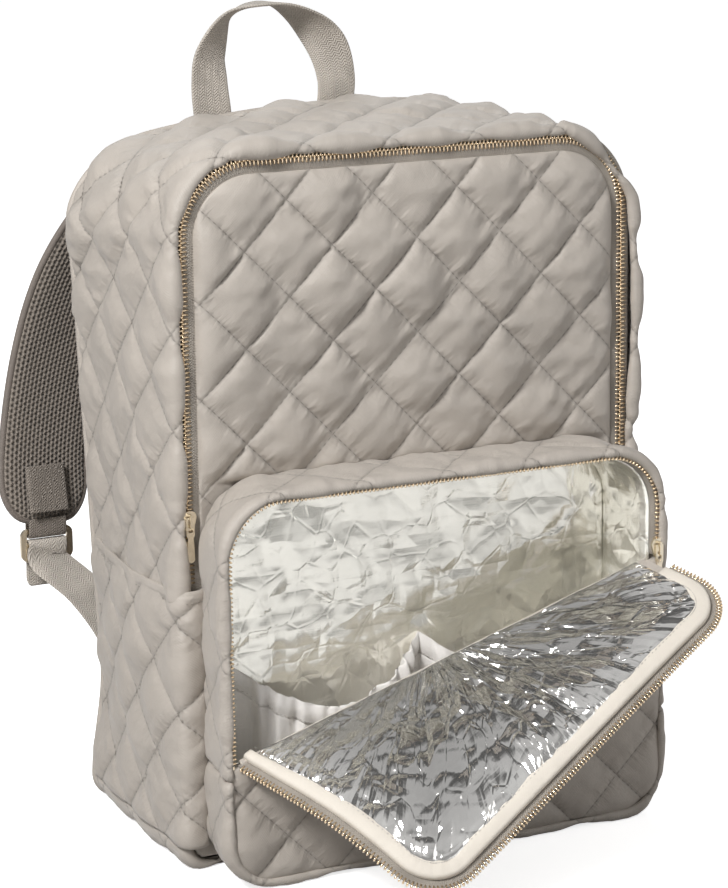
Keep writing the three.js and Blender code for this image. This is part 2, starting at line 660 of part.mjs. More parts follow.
buildShell();
buildSidePocket('left', false);
buildSidePocket('right', true);
buildMainZip();
buildDoor();
buildSliders();
buildThermalPocket();
buildBottleHolder();
buildPocketZip();
buildFlap();
buildHandle();
buildStraps();

export default bag;
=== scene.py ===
"""Looks of the quilted diaper bag: its soft goods, zips and finishes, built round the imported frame.

Lengths are in millimetres in the row frame (+Z up, front towards -Y), and make_piece() turns them
into metres.
"""

import json
import math

import bmesh
import bpy
import numpy as np
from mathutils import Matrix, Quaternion, Vector

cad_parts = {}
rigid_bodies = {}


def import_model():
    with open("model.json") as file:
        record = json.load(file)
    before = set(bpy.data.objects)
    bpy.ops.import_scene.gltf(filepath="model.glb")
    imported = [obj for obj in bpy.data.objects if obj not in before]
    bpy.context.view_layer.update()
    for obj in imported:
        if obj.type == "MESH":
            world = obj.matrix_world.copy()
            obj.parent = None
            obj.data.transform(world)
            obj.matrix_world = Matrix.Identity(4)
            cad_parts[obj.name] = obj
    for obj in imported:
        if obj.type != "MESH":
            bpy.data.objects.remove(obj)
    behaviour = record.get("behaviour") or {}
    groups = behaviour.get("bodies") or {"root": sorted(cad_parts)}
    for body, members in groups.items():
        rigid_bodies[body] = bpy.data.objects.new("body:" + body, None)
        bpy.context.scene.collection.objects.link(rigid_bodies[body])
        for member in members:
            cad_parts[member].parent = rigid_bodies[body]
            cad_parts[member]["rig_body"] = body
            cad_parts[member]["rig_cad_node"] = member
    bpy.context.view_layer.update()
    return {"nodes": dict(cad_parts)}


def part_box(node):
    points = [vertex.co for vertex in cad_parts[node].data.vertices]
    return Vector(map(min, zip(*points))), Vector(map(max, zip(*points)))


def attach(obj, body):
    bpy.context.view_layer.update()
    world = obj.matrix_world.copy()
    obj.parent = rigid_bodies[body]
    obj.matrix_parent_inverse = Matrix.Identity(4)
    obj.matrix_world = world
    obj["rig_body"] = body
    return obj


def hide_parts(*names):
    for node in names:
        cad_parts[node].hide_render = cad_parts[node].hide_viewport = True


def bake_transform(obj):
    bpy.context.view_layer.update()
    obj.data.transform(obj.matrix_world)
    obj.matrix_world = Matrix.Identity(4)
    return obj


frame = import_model()
MM = 0.001


def node_box(node):
    """Lowest and highest corner of a CAD node, in millimetres."""
    low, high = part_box(node)
    return np.array(low) / MM, np.array(high) / MM


# ---- Driving dimensions: read from the frame where it has them, and named after the CAD's ----
BODY_HALF = node_box("body_gusset")[1][0]
BODY_TOP = node_box("body_gusset")[1][2]
GUSSET_BACK = node_box("body_gusset")[1][1]
BACK_FACE = node_box("back_panel")[1][1]
DOOR_FACE = node_box("front_door_panel")[0][1]
HINGE_Z = node_box("front_door_panel")[0][2]
BODY_RADIUS, BASE_RADIUS = 50.0, 14.0
DOOR_INSET, MAIN_CHAIN_INSET, MAIN_ZIP_BOTTOM = 15.5, 7.25, 167.0
CHAIN_Y = (node_box("main_zip_outer_teeth")[0][1] + node_box("main_zip_outer_teeth")[1][1]) / 2

POCKET_BACK_HALF, POCKET_FRONT_HALF = 134.5, node_box("pocket_gusset")[1][0]
POCKET_TOP, POCKET_BOTTOM = node_box("pocket_gusset")[1][2], node_box("pocket_gusset_lower")[0][2]
POCKET_BACK, POCKET_FRONT = node_box("pocket_gusset")[1][1], node_box("pocket_gusset")[0][1]
POCKET_RADIUS, POCKET_BASE_RADIUS = 37.0, 28.0
SEAM_Z = node_box("pocket_gusset")[0][2]
POCKET_CHAIN_INSET = 4.95
POCKET_CHAIN_Y = (node_box("pocket_zip_teeth")[0][1] + node_box("pocket_zip_teeth")[1][1]) / 2

FOLD_LEFT, FOLD_RIGHT, FOLD_HALF, FOLD_Y = 74.0, 158.0, 138.0, -124.0
FOLD_SLOPE = (FOLD_RIGHT - FOLD_LEFT) / (2 * FOLD_HALF)
FOLD_ANGLE = math.atan(FOLD_SLOPE)
FOLD_POINT = np.array([0.0, FOLD_Y, (FOLD_LEFT + FOLD_RIGHT) / 2])
FOLD_ALONG = np.array([math.cos(FOLD_ANGLE), 0.0, math.sin(FOLD_ANGLE)])
FLAP_UP = np.array([-math.sin(FOLD_ANGLE), 0.0, math.cos(FOLD_ANGLE)])
FOLD_OPEN, CURL_OPEN = math.radians(112), math.radians(21)

QUILT_PITCH = 54.4
QUILT_PUFF = 6.4


# ---- Numbers and noise ----
def smooth(x):
    x = np.clip(x, 0, 1)
    return x * x * (3 - 2 * x)


def dome(x):
    """0 at x = 0, rising steeply and levelling off at x = 1, as a padded edge does."""
    x = np.clip(x, 0, 1)
    return np.sqrt(1 - (1 - x) ** 2)


def noise(points, size, seed=0):
    """Smooth value noise from -1 to 1 at points (..., 2 or 3), with features about size apart."""
    points = np.asarray(points, float)
    shape, dims = points.shape[:-1], points.shape[-1]
    q = points.reshape(-1, dims) / size + 31.7 + 13.13 * seed
    cell = np.floor(q).astype(np.int64)
    f = q - cell
    f = f * f * (3 - 2 * f)
    total = np.zeros(len(q))
    primes = (374761393, 668265263, 1274126177)
    for corner in np.ndindex(*(2,) * dims):
        h = np.full(len(q), seed * 1442695041, np.int64)
        weight = np.ones(len(q))
        for axis in range(dims):
            h = h + (cell[:, axis] + corner[axis]) * primes[axis]
            weight = weight * (f[:, axis] if corner[axis] else 1 - f[:, axis])
        h = ((h ^ (h >> 13)) * 1274126177) & 0xFFFFFFFF
        h = ((h ^ (h >> 15)) * 2246822519) & 0xFFFFFFFF
        total += ((h & 0xFFFF) / 32767.5 - 1) * weight
    return total.reshape(shape)


def stack(*columns):
    return np.stack(np.broadcast_arrays(*columns), -1).astype(float)


def unit(v):
    return v / np.maximum(np.linalg.norm(v, axis=-1, keepdims=True), 1e-9)


def run_along(line):
    """The distance of each point of a line from its start."""
    return np.concatenate([[0], np.cumsum(np.linalg.norm(np.diff(line, axis=0), axis=1))])


def grid_normals(p, outward):
    """Normals of a grid of points (m, n, 3), on the side that outward points to."""
    n = unit(np.cross(np.gradient(p, axis=0), np.gradient(p, axis=1)))
    side = np.sign((n * outward).sum(-1).mean())
    return n * (side if side else 1)


def wall_normals(base, normal):
    """Normals of a wall that stands on an outline in XZ, on the side that the outline's normals point to."""
    return grid_normals(base, stack(normal[:, :1], 0 * normal[:, :1], normal[:, 1:]))


# ---- Meshes ----
def quads_of(rows, columns, first=0, closed=False):
    """The quads of a grid whose vertices run column by column within each row."""
    r, c = np.meshgrid(np.arange(rows - 1), np.arange(columns if closed else columns - 1), indexing="ij")
    a = first + r * columns + c
    b = first + r * columns + (c + 1) % columns
    return np.stack([a, b, b + columns, a + columns], -1).reshape(-1, 4)


class Builder:
    """Collects the patches of one piece: vertices, faces, a material number and surface coordinates each."""

    def __init__(self):
        self.points, self.faces, self.slots, self.surface, self.count = [], [], [], [], 0

    def add(self, points, faces, slot=0, surface=None):
        points = np.asarray(points, float).reshape(-1, 3)
        if surface is None:
            surface = points
        self.surface.append(np.asarray(surface, float).reshape(-1, 3))
        self.points.append(points)
        self.faces += [[int(i) + self.count for i in face] for face in faces]
        self.slots += [slot] * len(faces)
        self.count += len(points)

    def sheet(self, outer, inner, slot=0, inner_slot=None, surface=None, closed=False):
        """A closed sheet between two grids (m, n, 3). closed joins its last and first columns."""
        m, n = outer.shape[:2]
        outer_faces = quads_of(m, n, closed=closed)
        inner_faces = quads_of(m, n, m * n, closed=closed)[:, ::-1]
        top, side = np.arange(n), np.arange(m) * n
        rims = [(top, False), (top + (m - 1) * n, True)]
        if not closed:
            rims += [(side, True), (side + n - 1, False)]
        edges = []
        for line, flip in rims:
            line = np.append(line, line[:1]) if closed else line
            a, b = line[:-1], line[1:]
            face = np.stack([a, a + m * n, b + m * n, b], -1)
            edges.append(face[:, ::-1] if flip else face)
        both = np.concatenate([outer.reshape(-1, 3), inner.reshape(-1, 3)])
        if surface is not None:
            surface = np.concatenate([surface.reshape(-1, 3)] * 2)
        first = self.count
        self.add(both, outer_faces, slot, surface)
        back = slot if inner_slot is None else inner_slot
        for faces in (inner_faces, *edges):
            self.faces += [[int(i) + first for i in face] for face in faces]
            self.slots += [back if faces is inner_faces else slot] * len(faces)

    def tube(self, route, radius, slot=0, sides=8, closed=False):
        """A round tube along route (n, 3). radius is a number or one for each point."""
        route = np.asarray(route, float)
        self.section(route, round_section(sides), stack(radius + 0 * route[:, 0], radius + 0 * route[:, 0]),
                     slot=slot, closed=closed)

    def section(self, route, shape, size, up=None, slot=0, closed=False):
        """A closed section shape (k, 2), scaled by size (n, 2) and swept along route (n, 3).

        up (n, 3) is the section's second axis.
        """
        along = np.gradient(route, axis=0)
        if closed:
            along[0] = along[-1] = route[1] - route[-2]
        along = unit(along)
        if up is None:
            up = steady_normals(along)
        across = unit(np.cross(up, along))
        up = unit(np.cross(along, across))
        n, k = len(route), len(shape)
        points = (route[:, None] + across[:, None] * (shape[:, 0] * size[:, :1])[..., None]
                  + up[:, None] * (shape[:, 1] * size[:, 1:])[..., None])
        run = run_along(route)
        surface = stack(shape[:, 0] * size[:, :1], run[:, None], shape[:, 1] * size[:, 1:])
        faces = [list(q) for q in quads_of(n, k, closed=True)]
        if closed:
            faces = faces[: (n - 1) * k]
            points[-1] = points[0]
        else:
            last = (n - 1) * k
            faces += [list(range(k))[::-1], list(range(last, last + k))]
        self.add(points, faces, slot, surface)

    def lozenges(self, centre, along, normal, length, width, height, slot=0):
        """Small spindles, such as stitches: centre, along and normal are (n, 3)."""
        if not len(centre):
            return
        side = np.cross(along, normal)
        ring = [along * length / 2 - normal * height * 0.6, side * width / 2, normal * height,
                -side * width / 2, -normal * height * 0.6, -along * length / 2 - normal * height * 0.6]
        points = np.stack([centre + offset for offset in ring], 1)
        pattern = [(0, 2, 1), (0, 3, 2), (0, 4, 3), (0, 1, 4), (5, 1, 2), (5, 2, 3), (5, 3, 4), (5, 4, 1)]
        faces = (np.arange(len(centre))[:, None, None] * 6 + np.array(pattern)[None]).reshape(-1, 3)
        self.add(points, faces, slot)


def round_section(sides):
    angle = 2 * np.pi * np.arange(sides) / sides
    return np.stack([np.cos(angle), np.sin(angle)], -1)


def flat_section(corner=0.25, steps=3, across=6):
    """A webbing's section in units of its half width and half thickness, with rounded edges."""
    angles = np.linspace(-np.pi / 2, np.pi / 2, 2 * steps + 1)
    right = np.stack([1 - corner + corner * np.cos(angles), np.sin(angles)], -1)
    flat = np.linspace(1 - corner, -1 + corner, across + 2)[1:-1]
    left = -right
    top, bottom = np.stack([flat, 0 * flat + 1], -1), np.stack([-flat, 0 * flat - 1], -1)
    return np.concatenate([right, top, left, bottom])


def steady_normals(along):
    """Normals that turn as little as they can along a route."""
    normal = np.cross(along[0], [0.31, 0.52, 0.79])
    found = []
    for tangent in along:
        normal = normal - tangent * (normal @ tangent)
        normal = normal / np.linalg.norm(normal)
        found.append(normal)
    return np.array(found)


def curve(points, count):
    """count points evenly spaced along a smooth curve through points."""
    p = np.asarray(points, float)
    padded = np.concatenate([[2 * p[0] - p[1]], p, [2 * p[-1] - p[-2]]])
    fine = []
    for i in range(len(p) - 1):
        a, b, c, d = padded[i:i + 4]
        t = np.linspace(0, 1, 40, endpoint=False)[:, None]
        fine.append(0.5 * (2 * b + (c - a) * t + (2 * a - 5 * b + 4 * c - d) * t ** 2
                           + (3 * b - a - 3 * c + d) * t ** 3))
    fine = np.concatenate([*fine, p[-1:]])
    return even(fine, count)


def even(line, count):
    run = run_along(line)
    at = np.linspace(0, run[-1], count)
    return np.stack([np.interp(at, run, line[:, i]) for i in range(line.shape[1])], -1)


def make_piece(name, builder, materials, body=None, replaces=(), blend=None, shade=True):
    """Turns a builder into a Blender object that rides on body, or, given blend, rides on no body and keeps
    its place.
    """
    points = np.concatenate(builder.points)
    mesh = bpy.data.meshes.new(name)
    mesh.from_pydata((points * MM).tolist(), [], builder.faces)
    mesh.polygons.foreach_set("material_index", builder.slots)
    mesh.polygons.foreach_set("use_smooth", [shade] * len(builder.faces))
    surface = mesh.attributes.new("surface", "FLOAT_VECTOR", "POINT")
    surface.data.foreach_set("vector", np.concatenate(builder.surface).ravel())
    for material in materials:
        mesh.materials.append(material)
    mesh.update()
    fix_normals(mesh)
    piece = bpy.data.objects.new(name, mesh)
    bpy.context.scene.collection.objects.link(piece)
    if blend:
        first, second, start, end = blend
        tuple(np.array(start) * MM)
        tuple(np.array(end) * MM)
        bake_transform(piece)
    else:
        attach(piece, body)
    if replaces:
        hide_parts(*replaces)
    return piece


def fix_normals(mesh):
    """Turns the faces of each closed shell outwards."""
    shape = bmesh.new()
    shape.from_mesh(mesh)
    bmesh.ops.remove_doubles(shape, verts=shape.verts, dist=1e-7)
    bmesh.ops.recalc_face_normals(shape, faces=shape.faces)
    shape.to_mesh(mesh)
    shape.free()


# ---- Materials ----
class Finish:
    """One procedural material. Patterns read the surface attribute, in millimetres along the cloth."""

    def __init__(self, name, roughness, metallic=0.0, sheen=0.0, coordinates="surface"):
        self.material = bpy.data.materials.new(name)
        self.material.use_nodes = True
        self.tree = self.material.node_tree
        self.shader = self.tree.nodes["Principled BSDF"]
        self.shader.inputs["Roughness"].default_value = roughness
        self.shader.inputs["Metallic"].default_value = metallic
        self.shader.inputs["Sheen Weight"].default_value = sheen
        self.shader.inputs["Sheen Roughness"].default_value = 0.4
        if coordinates == "surface":
            self.place = self.node("ShaderNodeAttribute", attribute_name="surface").outputs["Vector"]
        else:
            raw = self.node("ShaderNodeTexCoord").outputs["Object"]
            self.place = self.vector("SCALE", raw, scale=1 / MM)

    def node(self, kind, **settings):
        made = self.tree.nodes.new(kind)
        for key, value in settings.items():
            setattr(made, key, value)
        return made

    def feed(self, socket, value):
        if isinstance(value, bpy.types.NodeSocket):
            self.tree.links.new(value, socket)
        else:
            socket.default_value = value

    def math(self, operation, *values, clamp=False):
        made = self.node("ShaderNodeMath", operation=operation, use_clamp=clamp)
        for socket, value in zip(made.inputs, values):
            self.feed(socket, value)
        return made.outputs[0]

    def vector(self, operation, *values, scale=None):
        made = self.node("ShaderNodeVectorMath", operation=operation)
        for socket, value in zip(made.inputs, values):
            self.feed(socket, value)
        if scale is not None:
            made.inputs["Scale"].default_value = scale
        return made.outputs[0]

    def split(self, vector):
        made = self.node("ShaderNodeSeparateXYZ")
        self.feed(made.inputs[0], vector)
        return made.outputs

    def join(self, x, y):
        made = self.node("ShaderNodeCombineXYZ")
        self.feed(made.inputs[0], x)
        self.feed(made.inputs[1], y)
        return made.outputs[0]

    def noise(self, size, detail=2.0, vector=None, roughness=0.55):
        made = self.node("ShaderNodeTexNoise")
        self.feed(made.inputs["Vector"], vector or self.place)
        made.inputs["Scale"].default_value = 1 / size
        made.inputs["Detail"].default_value = detail
        made.inputs["Roughness"].default_value = roughness
        return made.outputs["Fac"]

    def cells(self, size, feature="DISTANCE_TO_EDGE", vector=None):
        made = self.node("ShaderNodeTexVoronoi", feature=feature)
        self.feed(made.inputs["Vector"], vector or self.place)
        made.inputs["Scale"].default_value = 1 / size
        if feature == "F1":
            made.distance = "MANHATTAN"
        return made.outputs["Distance"]

    def ramp(self, value, *stops):
        made = self.node("ShaderNodeValToRGB")
        self.feed(made.inputs["Fac"], value)
        ramp = made.color_ramp
        while len(ramp.elements) < len(stops):
            ramp.elements.new(0.5)
        for element, (position, colour) in zip(ramp.elements, stops):
            element.position = position
            element.color = (*colour, 1) if len(colour) == 3 else colour
        return made.outputs["Color"]

    def mix(self, factor, first, second, blend="MIX"):
        made = self.node("ShaderNodeMix", data_type="RGBA", blend_type=blend)
        self.feed(made.inputs["Factor"], factor)
        for socket, colour in zip((made.inputs[6], made.inputs[7]), (first, second)):
            self.feed(socket, (*colour, 1) if isinstance(colour, tuple) else colour)
        return made.outputs[2]

    def wave(self, value, pitch, offset=0.0):
        """A sine from -1 to 1 that repeats every pitch."""
        return self.math("SINE", self.math("MULTIPLY_ADD", value, 2 * math.pi / pitch, offset))

    def bump(self, height, distance, strength=1.0):
        """Adds a bump of that height in millimetres on top of those before it."""
        made = self.node("ShaderNodeBump")
        self.feed(made.inputs["Height"], height)
        made.inputs["Distance"].default_value = distance * MM
        made.inputs["Strength"].default_value = strength
        normal = self.shader.inputs["Normal"]
        if normal.is_linked:
            self.tree.links.new(normal.links[0].from_socket, made.inputs["Normal"])
        self.tree.links.new(made.outputs[0], normal)

    def colour(self, value):
        self.feed(self.shader.inputs["Base Color"], value)

    def roughness(self, value, low, high):
        made = self.node("ShaderNodeMapRange")
        self.feed(made.inputs["Value"], value)
        made.inputs["To Min"].default_value = low
        made.inputs["To Max"].default_value = high
        self.feed(self.shader.inputs["Roughness"], made.outputs[0])


def linear(red, green, blue):
    """A colour given as it looks on screen, 0 to 255, as Blender's linear one."""
    return tuple(((c / 255 + 0.055) / 1.055) ** 2.4 for c in (red, green, blue))


def shaded(colour, factor):
    return tuple(min(1, c * factor) for c in colour)


def quilt_lines(cloth, u, v, shown, tint, colour):
    """Stitched grooves on both diagonals through the surface origin, painted darker as shade and darkest at
    the needle holes, with short puckers.
    """
    for sign in (1, -1):
        away = cloth.math("PINGPONG", cloth.math("MULTIPLY_ADD", v, sign, u), QUILT_PITCH / 2)
        along = cloth.math("MULTIPLY_ADD", v, -sign, u)
        groove = cloth.math("MULTIPLY", cloth.math("MULTIPLY_ADD", away, -0.42, 1.0, clamp=True), shown)
        line = cloth.math("MULTIPLY", cloth.math("MULTIPLY_ADD", away, -1.3, 1.0, clamp=True), shown)
        holes = cloth.math("MULTIPLY_ADD", cloth.wave(along, 4.3 * math.sqrt(2)), 0.35, 0.42)
        # Painted shade: the cloth darkens towards the middle of each stitched groove.
        tint = cloth.mix(cloth.math("MULTIPLY", groove, 0.3), tint, shaded(colour, 0.6))
        # Painted shade along the groove's floor, darkest in dashes at the needle holes.
        tint = cloth.mix(cloth.math("MULTIPLY", line, holes), tint, shaded(colour, 0.3))
        run = cloth.join(along, cloth.math("MULTIPLY", away, 0.22))
        near = cloth.math("MULTIPLY_ADD", away, -0.07, 1.0, clamp=True)
        cloth.bump(cloth.math("MULTIPLY", cloth.noise(5.5, 2, vector=run), near), 1.6, 0.8)
        cloth.bump(cloth.math("MULTIPLY", groove, -1.0), 0.5, 0.8)
    return tint


def woven(name, colour, pitch=0.9, depth=0.1, sheen=0.25, roughness=0.6, mottled=0.06, crease=False):
    """Fine plain or satin cloth: crossing threads, slubs, soft mottling, and stitched creases darkened with
    painted shade.
    """
    cloth = Finish(name, roughness, sheen=sheen)
    u, v, fold = cloth.split(cloth.place)
    weft = cloth.wave(cloth.math("ADD", u, v), pitch)
    warp = cloth.wave(cloth.math("SUBTRACT", u, v), pitch * 1.7)
    threads = cloth.math("MULTIPLY_ADD", weft, 0.6, cloth.math("MULTIPLY", warp, 0.4))
    slubs = cloth.noise(1.6, 3)
    soft = cloth.noise(38, 3)
    slubbed = cloth.math("MULTIPLY_ADD", slubs, 0.4, cloth.math("ADD", soft, -0.12))
    tone = cloth.math("MULTIPLY_ADD", threads, 0.05, slubbed)
    tint = cloth.ramp(tone, (0.32, shaded(colour, 1 - mottled * 1.4)), (0.62, colour),
                      (0.95, shaded(colour, 1 + mottled)))
    if crease:
        tint = quilt_lines(cloth, u, v, fold, tint, colour)
    cloth.colour(tint)
    cloth.roughness(slubs, roughness - 0.08, roughness + 0.12)
    cloth.bump(cloth.noise(7.5, 3), 0.9, 0.7)
    cloth.bump(threads, depth, 0.6)
    cloth.bump(slubs, 0.12, 0.5)
    return cloth.material


def ribbed(name, colour, pitch=1.3, chevron=3.2, depth=0.35, roughness=0.8, sheen=0.1):
    """Herringbone webbing or zip tape. Its surface coordinates run across it and along it."""
    tape = Finish(name, roughness, sheen=sheen)
    across, along, _ = tape.split(tape.place)
    zigzag = tape.math("PINGPONG", across, chevron)
    ribs = tape.wave(tape.math("ADD", along, tape.math("MULTIPLY", zigzag, 0.8)), pitch)
    rows = tape.wave(across, chevron * 0.5)
    weave = tape.math("MULTIPLY_ADD", ribs, 0.7, tape.math("MULTIPLY", rows, 0.3))
    fibres = tape.noise(1.1, 3)
    tone = tape.math("MULTIPLY_ADD", weave, 0.14, tape.math("MULTIPLY_ADD", fibres, 0.3, tape.noise(22, 2)))
    tape.colour(tape.ramp(tone, (0.35, shaded(colour, 0.7)), (0.75, colour), (1.0, shaded(colour, 1.16))))
    tape.bump(weave, depth, 0.8)
    tape.bump(fibres, 0.15, 0.6)
    return tape.material


def air_mesh(name, colour, pitch=2.8):
    """Spacer mesh: a staggered grid of open pores in a knitted face, the pores painted dark as shade."""
    mesh = Finish(name, 0.85, sheen=0.2)
    u, v, _ = mesh.split(mesh.place)
    waves = mesh.wave(u, pitch)
    for sign in (1, -1):
        slant = mesh.math("MULTIPLY_ADD", v, sign * 0.866, mesh.math("MULTIPLY", u, 0.5))
        waves = mesh.math("ADD", waves, mesh.wave(slant, pitch))
    wobble = mesh.noise(1.4, 3)
    pores = mesh.math("MULTIPLY_ADD", wobble, 0.8, waves)
    tone = mesh.math("MULTIPLY_ADD", pores, 0.2, mesh.math("MULTIPLY", mesh.noise(18, 2), 0.25))
    # Painted shade: the pores darken to 0.28 of the knit's colour.
    mesh.colour(mesh.ramp(tone, (0.05, shaded(colour, 1.18)), (0.42, colour), (0.6, shaded(colour, 0.28))))
    mesh.bump(mesh.math("MULTIPLY", pores, -1.0), 0.45, 0.9)
    mesh.bump(wobble, 0.2, 0.6)
    return mesh.material


def foil(name, colour, roughness, creased=1.0, metallic=0.92, dark=1.0):
    """Aluminised film: bright metal with sharp fine creases between small flat facets, and a painted dark
    reflection away from its gathered edge.
    """
    film = Finish(name, roughness, metallic=metallic)
    around, depth, gathered = film.split(film.place)
    warp = film.math("MULTIPLY", film.noise(34, 1), 14.0)
    bent = film.join(film.math("ADD", around, warp), film.math("SUBTRACT", depth, warp))
    lines = film.math("MULTIPLY", film.cells(19, vector=bent), 16.0, clamp=True)
    worn = film.ramp(film.noise(26, 3), (0.3, shaded(colour, 0.86)), (0.6, colour),
                     (0.9, shaded(colour, 1.08)))
    # Painted dark reflection: away from the gathered edge, the film's colour falls to dark times its own.
    film.colour(film.mix(film.math("MULTIPLY", gathered, 1.3, clamp=True), shaded(colour, dark), worn))
    film.roughness(film.noise(5, 3), roughness * 0.7, roughness * 1.5)
    for size, slope in ((30, 0.12), (11, 0.035)):
        film.bump(film.cells(size, "F1", bent), slope * size * creased)
    pleats = film.cells(8, "F1", film.join(around, film.math("MULTIPLY", depth, 0.12)))
    film.bump(film.math("MULTIPLY", pleats, gathered), 1.3)
    film.bump(lines, 0.2 * creased)
    grid = film.math("ADD", film.wave(around, 1.5), film.wave(depth, 1.5))
    film.bump(grid, 0.004, 0.5)
    return film.material


def metal(name, colour, roughness, coordinates="object"):
    """Plated metal with faint handling marks."""
    plate = Finish(name, roughness, metallic=1.0, coordinates=coordinates)
    marks = plate.noise(2.2, 4)
    plate.colour(plate.ramp(plate.noise(5, 3), (0.3, shaded(colour, 0.86)), (0.7, colour)))
    plate.roughness(marks, roughness * 0.75, roughness * 1.6)
    plate.bump(marks, 0.012, 0.4)
    return plate.material


def grained(name, colour, roughness, size, depth):
    """A matt solid such as foam or moulded board."""
    solid = Finish(name, roughness, coordinates="object")
    cells = solid.cells(size)
    grain = solid.noise(size * 3, 4)
    solid.colour(solid.ramp(grain, (0.3, shaded(colour, 0.9)), (0.7, shaded(colour, 1.06))))
    solid.bump(cells, depth, 0.6)
    return solid.material


TAUPE = linear(181, 173, 164)
QUILTED = woven("quilted_cloth", TAUPE, crease=True, sheen=0.15, roughness=0.52)
PLAIN_TAUPE = woven("plain_cloth", TAUPE, sheen=0.15, roughness=0.52)
THREAD = ribbed("stitch_thread", shaded(TAUPE, 0.8), pitch=0.8, chevron=0.6, depth=0.1)
STRAP_EDGE = woven("strap_edge_cloth", linear(118, 109, 102), pitch=1.1)
MESH = air_mesh("spacer_mesh", linear(131, 122, 113))
WEBBING = ribbed("webbing_weave", linear(194, 186, 176), pitch=1.7, chevron=2.4)
PATCH = ribbed("patch_weave", linear(138, 129, 120), pitch=1.7, chevron=2.4)
TAPE = ribbed("zip_tape_weave", linear(166, 158, 148), pitch=1.5, chevron=2.0, depth=0.3)
CREAM = woven("cream_binding_cloth", linear(226, 218, 206), pitch=1.0, mottled=0.03, sheen=0.1, roughness=0.7)
HOLDER = woven("holder_cloth", linear(226, 222, 218), pitch=0.8, mottled=0.03, sheen=0.1, roughness=0.5)
LINING = woven("lining_cloth", linear(196, 188, 178), pitch=0.8, mottled=0.04, sheen=0.1, roughness=0.7)
# dark=0.55 paints a dark reflection on the flap's foil away from its binding.
FOIL = foil("creased_foil", (0.92, 0.905, 0.88), 0.1, dark=0.55)
LINER_FOIL = foil("liner_foil", (0.96, 0.94, 0.87), 0.2, creased=0.5, metallic=0.8)
GOLD = metal("pale_gold", (0.93, 0.83, 0.66), 0.2)
GOLD_TEETH = metal("gold_teeth", (0.95, 0.76, 0.53), 0.2, coordinates="surface")
FOAM_SHEET = grained("closed_cell_foam", (0.78, 0.75, 0.70), 0.95, 0.9, 0.1)
BOARD = grained("board_plastic", (0.045, 0.042, 0.04), 0.55, 1.4, 0.05)


# ---- Camera, light and floor ----
CAMERA_TARGET = Vector((9.4, 0, 218.4)) * MM
CAMERA_AZIMUTH, CAMERA_ELEVATION, CAMERA_ROLL = math.radians(-27.6), math.radians(12.1), math.radians(-0.76)
CAMERA_DISTANCE = 1.773
CAMERA_LENS = 119.0
WORLD_STRENGTH = 0.44
KEY_POWER = 38


def add_camera():
    data = bpy.data.cameras.new("camera")
    data.lens, data.sensor_width, data.clip_end = CAMERA_LENS, 36, 50
    camera = bpy.data.objects.new("camera", data)
    back = Vector((math.sin(CAMERA_AZIMUTH) * math.cos(CAMERA_ELEVATION),
                   -math.cos(CAMERA_AZIMUTH) * math.cos(CAMERA_ELEVATION), math.sin(CAMERA_ELEVATION)))
    camera.location = CAMERA_TARGET + back * CAMERA_DISTANCE
    turn = (-back).to_track_quat("-Z", "Y")
    turn.rotate(Quaternion(back, CAMERA_ROLL))
    camera.rotation_mode = "QUATERNION"
    camera.rotation_quaternion = turn
    bpy.context.scene.collection.objects.link(camera)
    bpy.context.scene.camera = camera


def add_light(name, place, size, power, target=(0, 0, 0.2), colour=(1, 1, 1)):
    data = bpy.data.lights.new(name, "AREA")
    data.shape, data.size, data.size_y, data.energy, data.color = "RECTANGLE", size[0], size[1], power, colour
    light = bpy.data.objects.new(name, data)
    light.location = place
    light.rotation_euler = (Vector(target) - Vector(place)).to_track_quat("-Z", "Y").to_euler()
    bpy.context.scene.collection.objects.link(light)


def add_world():
    """White to the camera, and to everything else a studio.

    Its walls are pale, and its ceiling is bright in front and dark behind.
    """
    world = bpy.data.worlds.new("studio")
    bpy.context.scene.world = world
    world.use_nodes = True
    nodes, links = world.node_tree.nodes, world.node_tree.links
    seen, lit = nodes["Background"], nodes.new("ShaderNodeBackground")
    seen.inputs["Color"].default_value = (1, 1, 1, 1)
    split = nodes.new("ShaderNodeSeparateXYZ")
    links.new(nodes.new("ShaderNodeTexCoord").outputs["Generated"], split.inputs[0])

    def band(socket, *stops):
        height = nodes.new("ShaderNodeMath")
        height.operation = "MULTIPLY_ADD"
        height.inputs[1].default_value = height.inputs[2].default_value = 0.5
        links.new(socket, height.inputs[0])
        ramp = nodes.new("ShaderNodeValToRGB")
        while len(ramp.color_ramp.elements) < len(stops):
            ramp.color_ramp.elements.new(0.5)
        for element, (position, level) in zip(ramp.color_ramp.elements, stops):
            element.position, element.color = position, (level, level, level, 1)
        links.new(height.outputs[0], ramp.inputs["Fac"])
        return ramp.outputs["Color"]

    walls = band(split.outputs["Z"], (0.0, 0.75), (0.5, 0.95), (0.66, 0.55), (0.82, 0.5), (1.0, 1.0))
    ceiling = band(split.outputs["Y"], (0.0, 1.0), (0.46, 1.3), (0.56, 0.2), (0.7, 0.08), (1.0, 0.4))
    overhead = band(split.outputs["Z"], (0.0, 0.0), (0.7, 0.0), (0.8, 1.0), (1.0, 1.0))
    mixed = nodes.new("ShaderNodeMix")
    mixed.data_type = "RGBA"
    links.new(overhead, mixed.inputs["Factor"])
    links.new(walls, mixed.inputs[6])
    links.new(ceiling, mixed.inputs[7])
    links.new(mixed.outputs[2], lit.inputs["Color"])
    lit.inputs["Strength"].default_value = WORLD_STRENGTH
    either = nodes.new("ShaderNodeMixShader")
    links.new(nodes.new("ShaderNodeLightPath").outputs["Is Camera Ray"], either.inputs["Fac"])
    links.new(lit.outputs[0], either.inputs[1])
    links.new(seen.outputs[0], either.inputs[2])
    links.new(either.outputs[0], nodes["World Output"].inputs["Surface"])


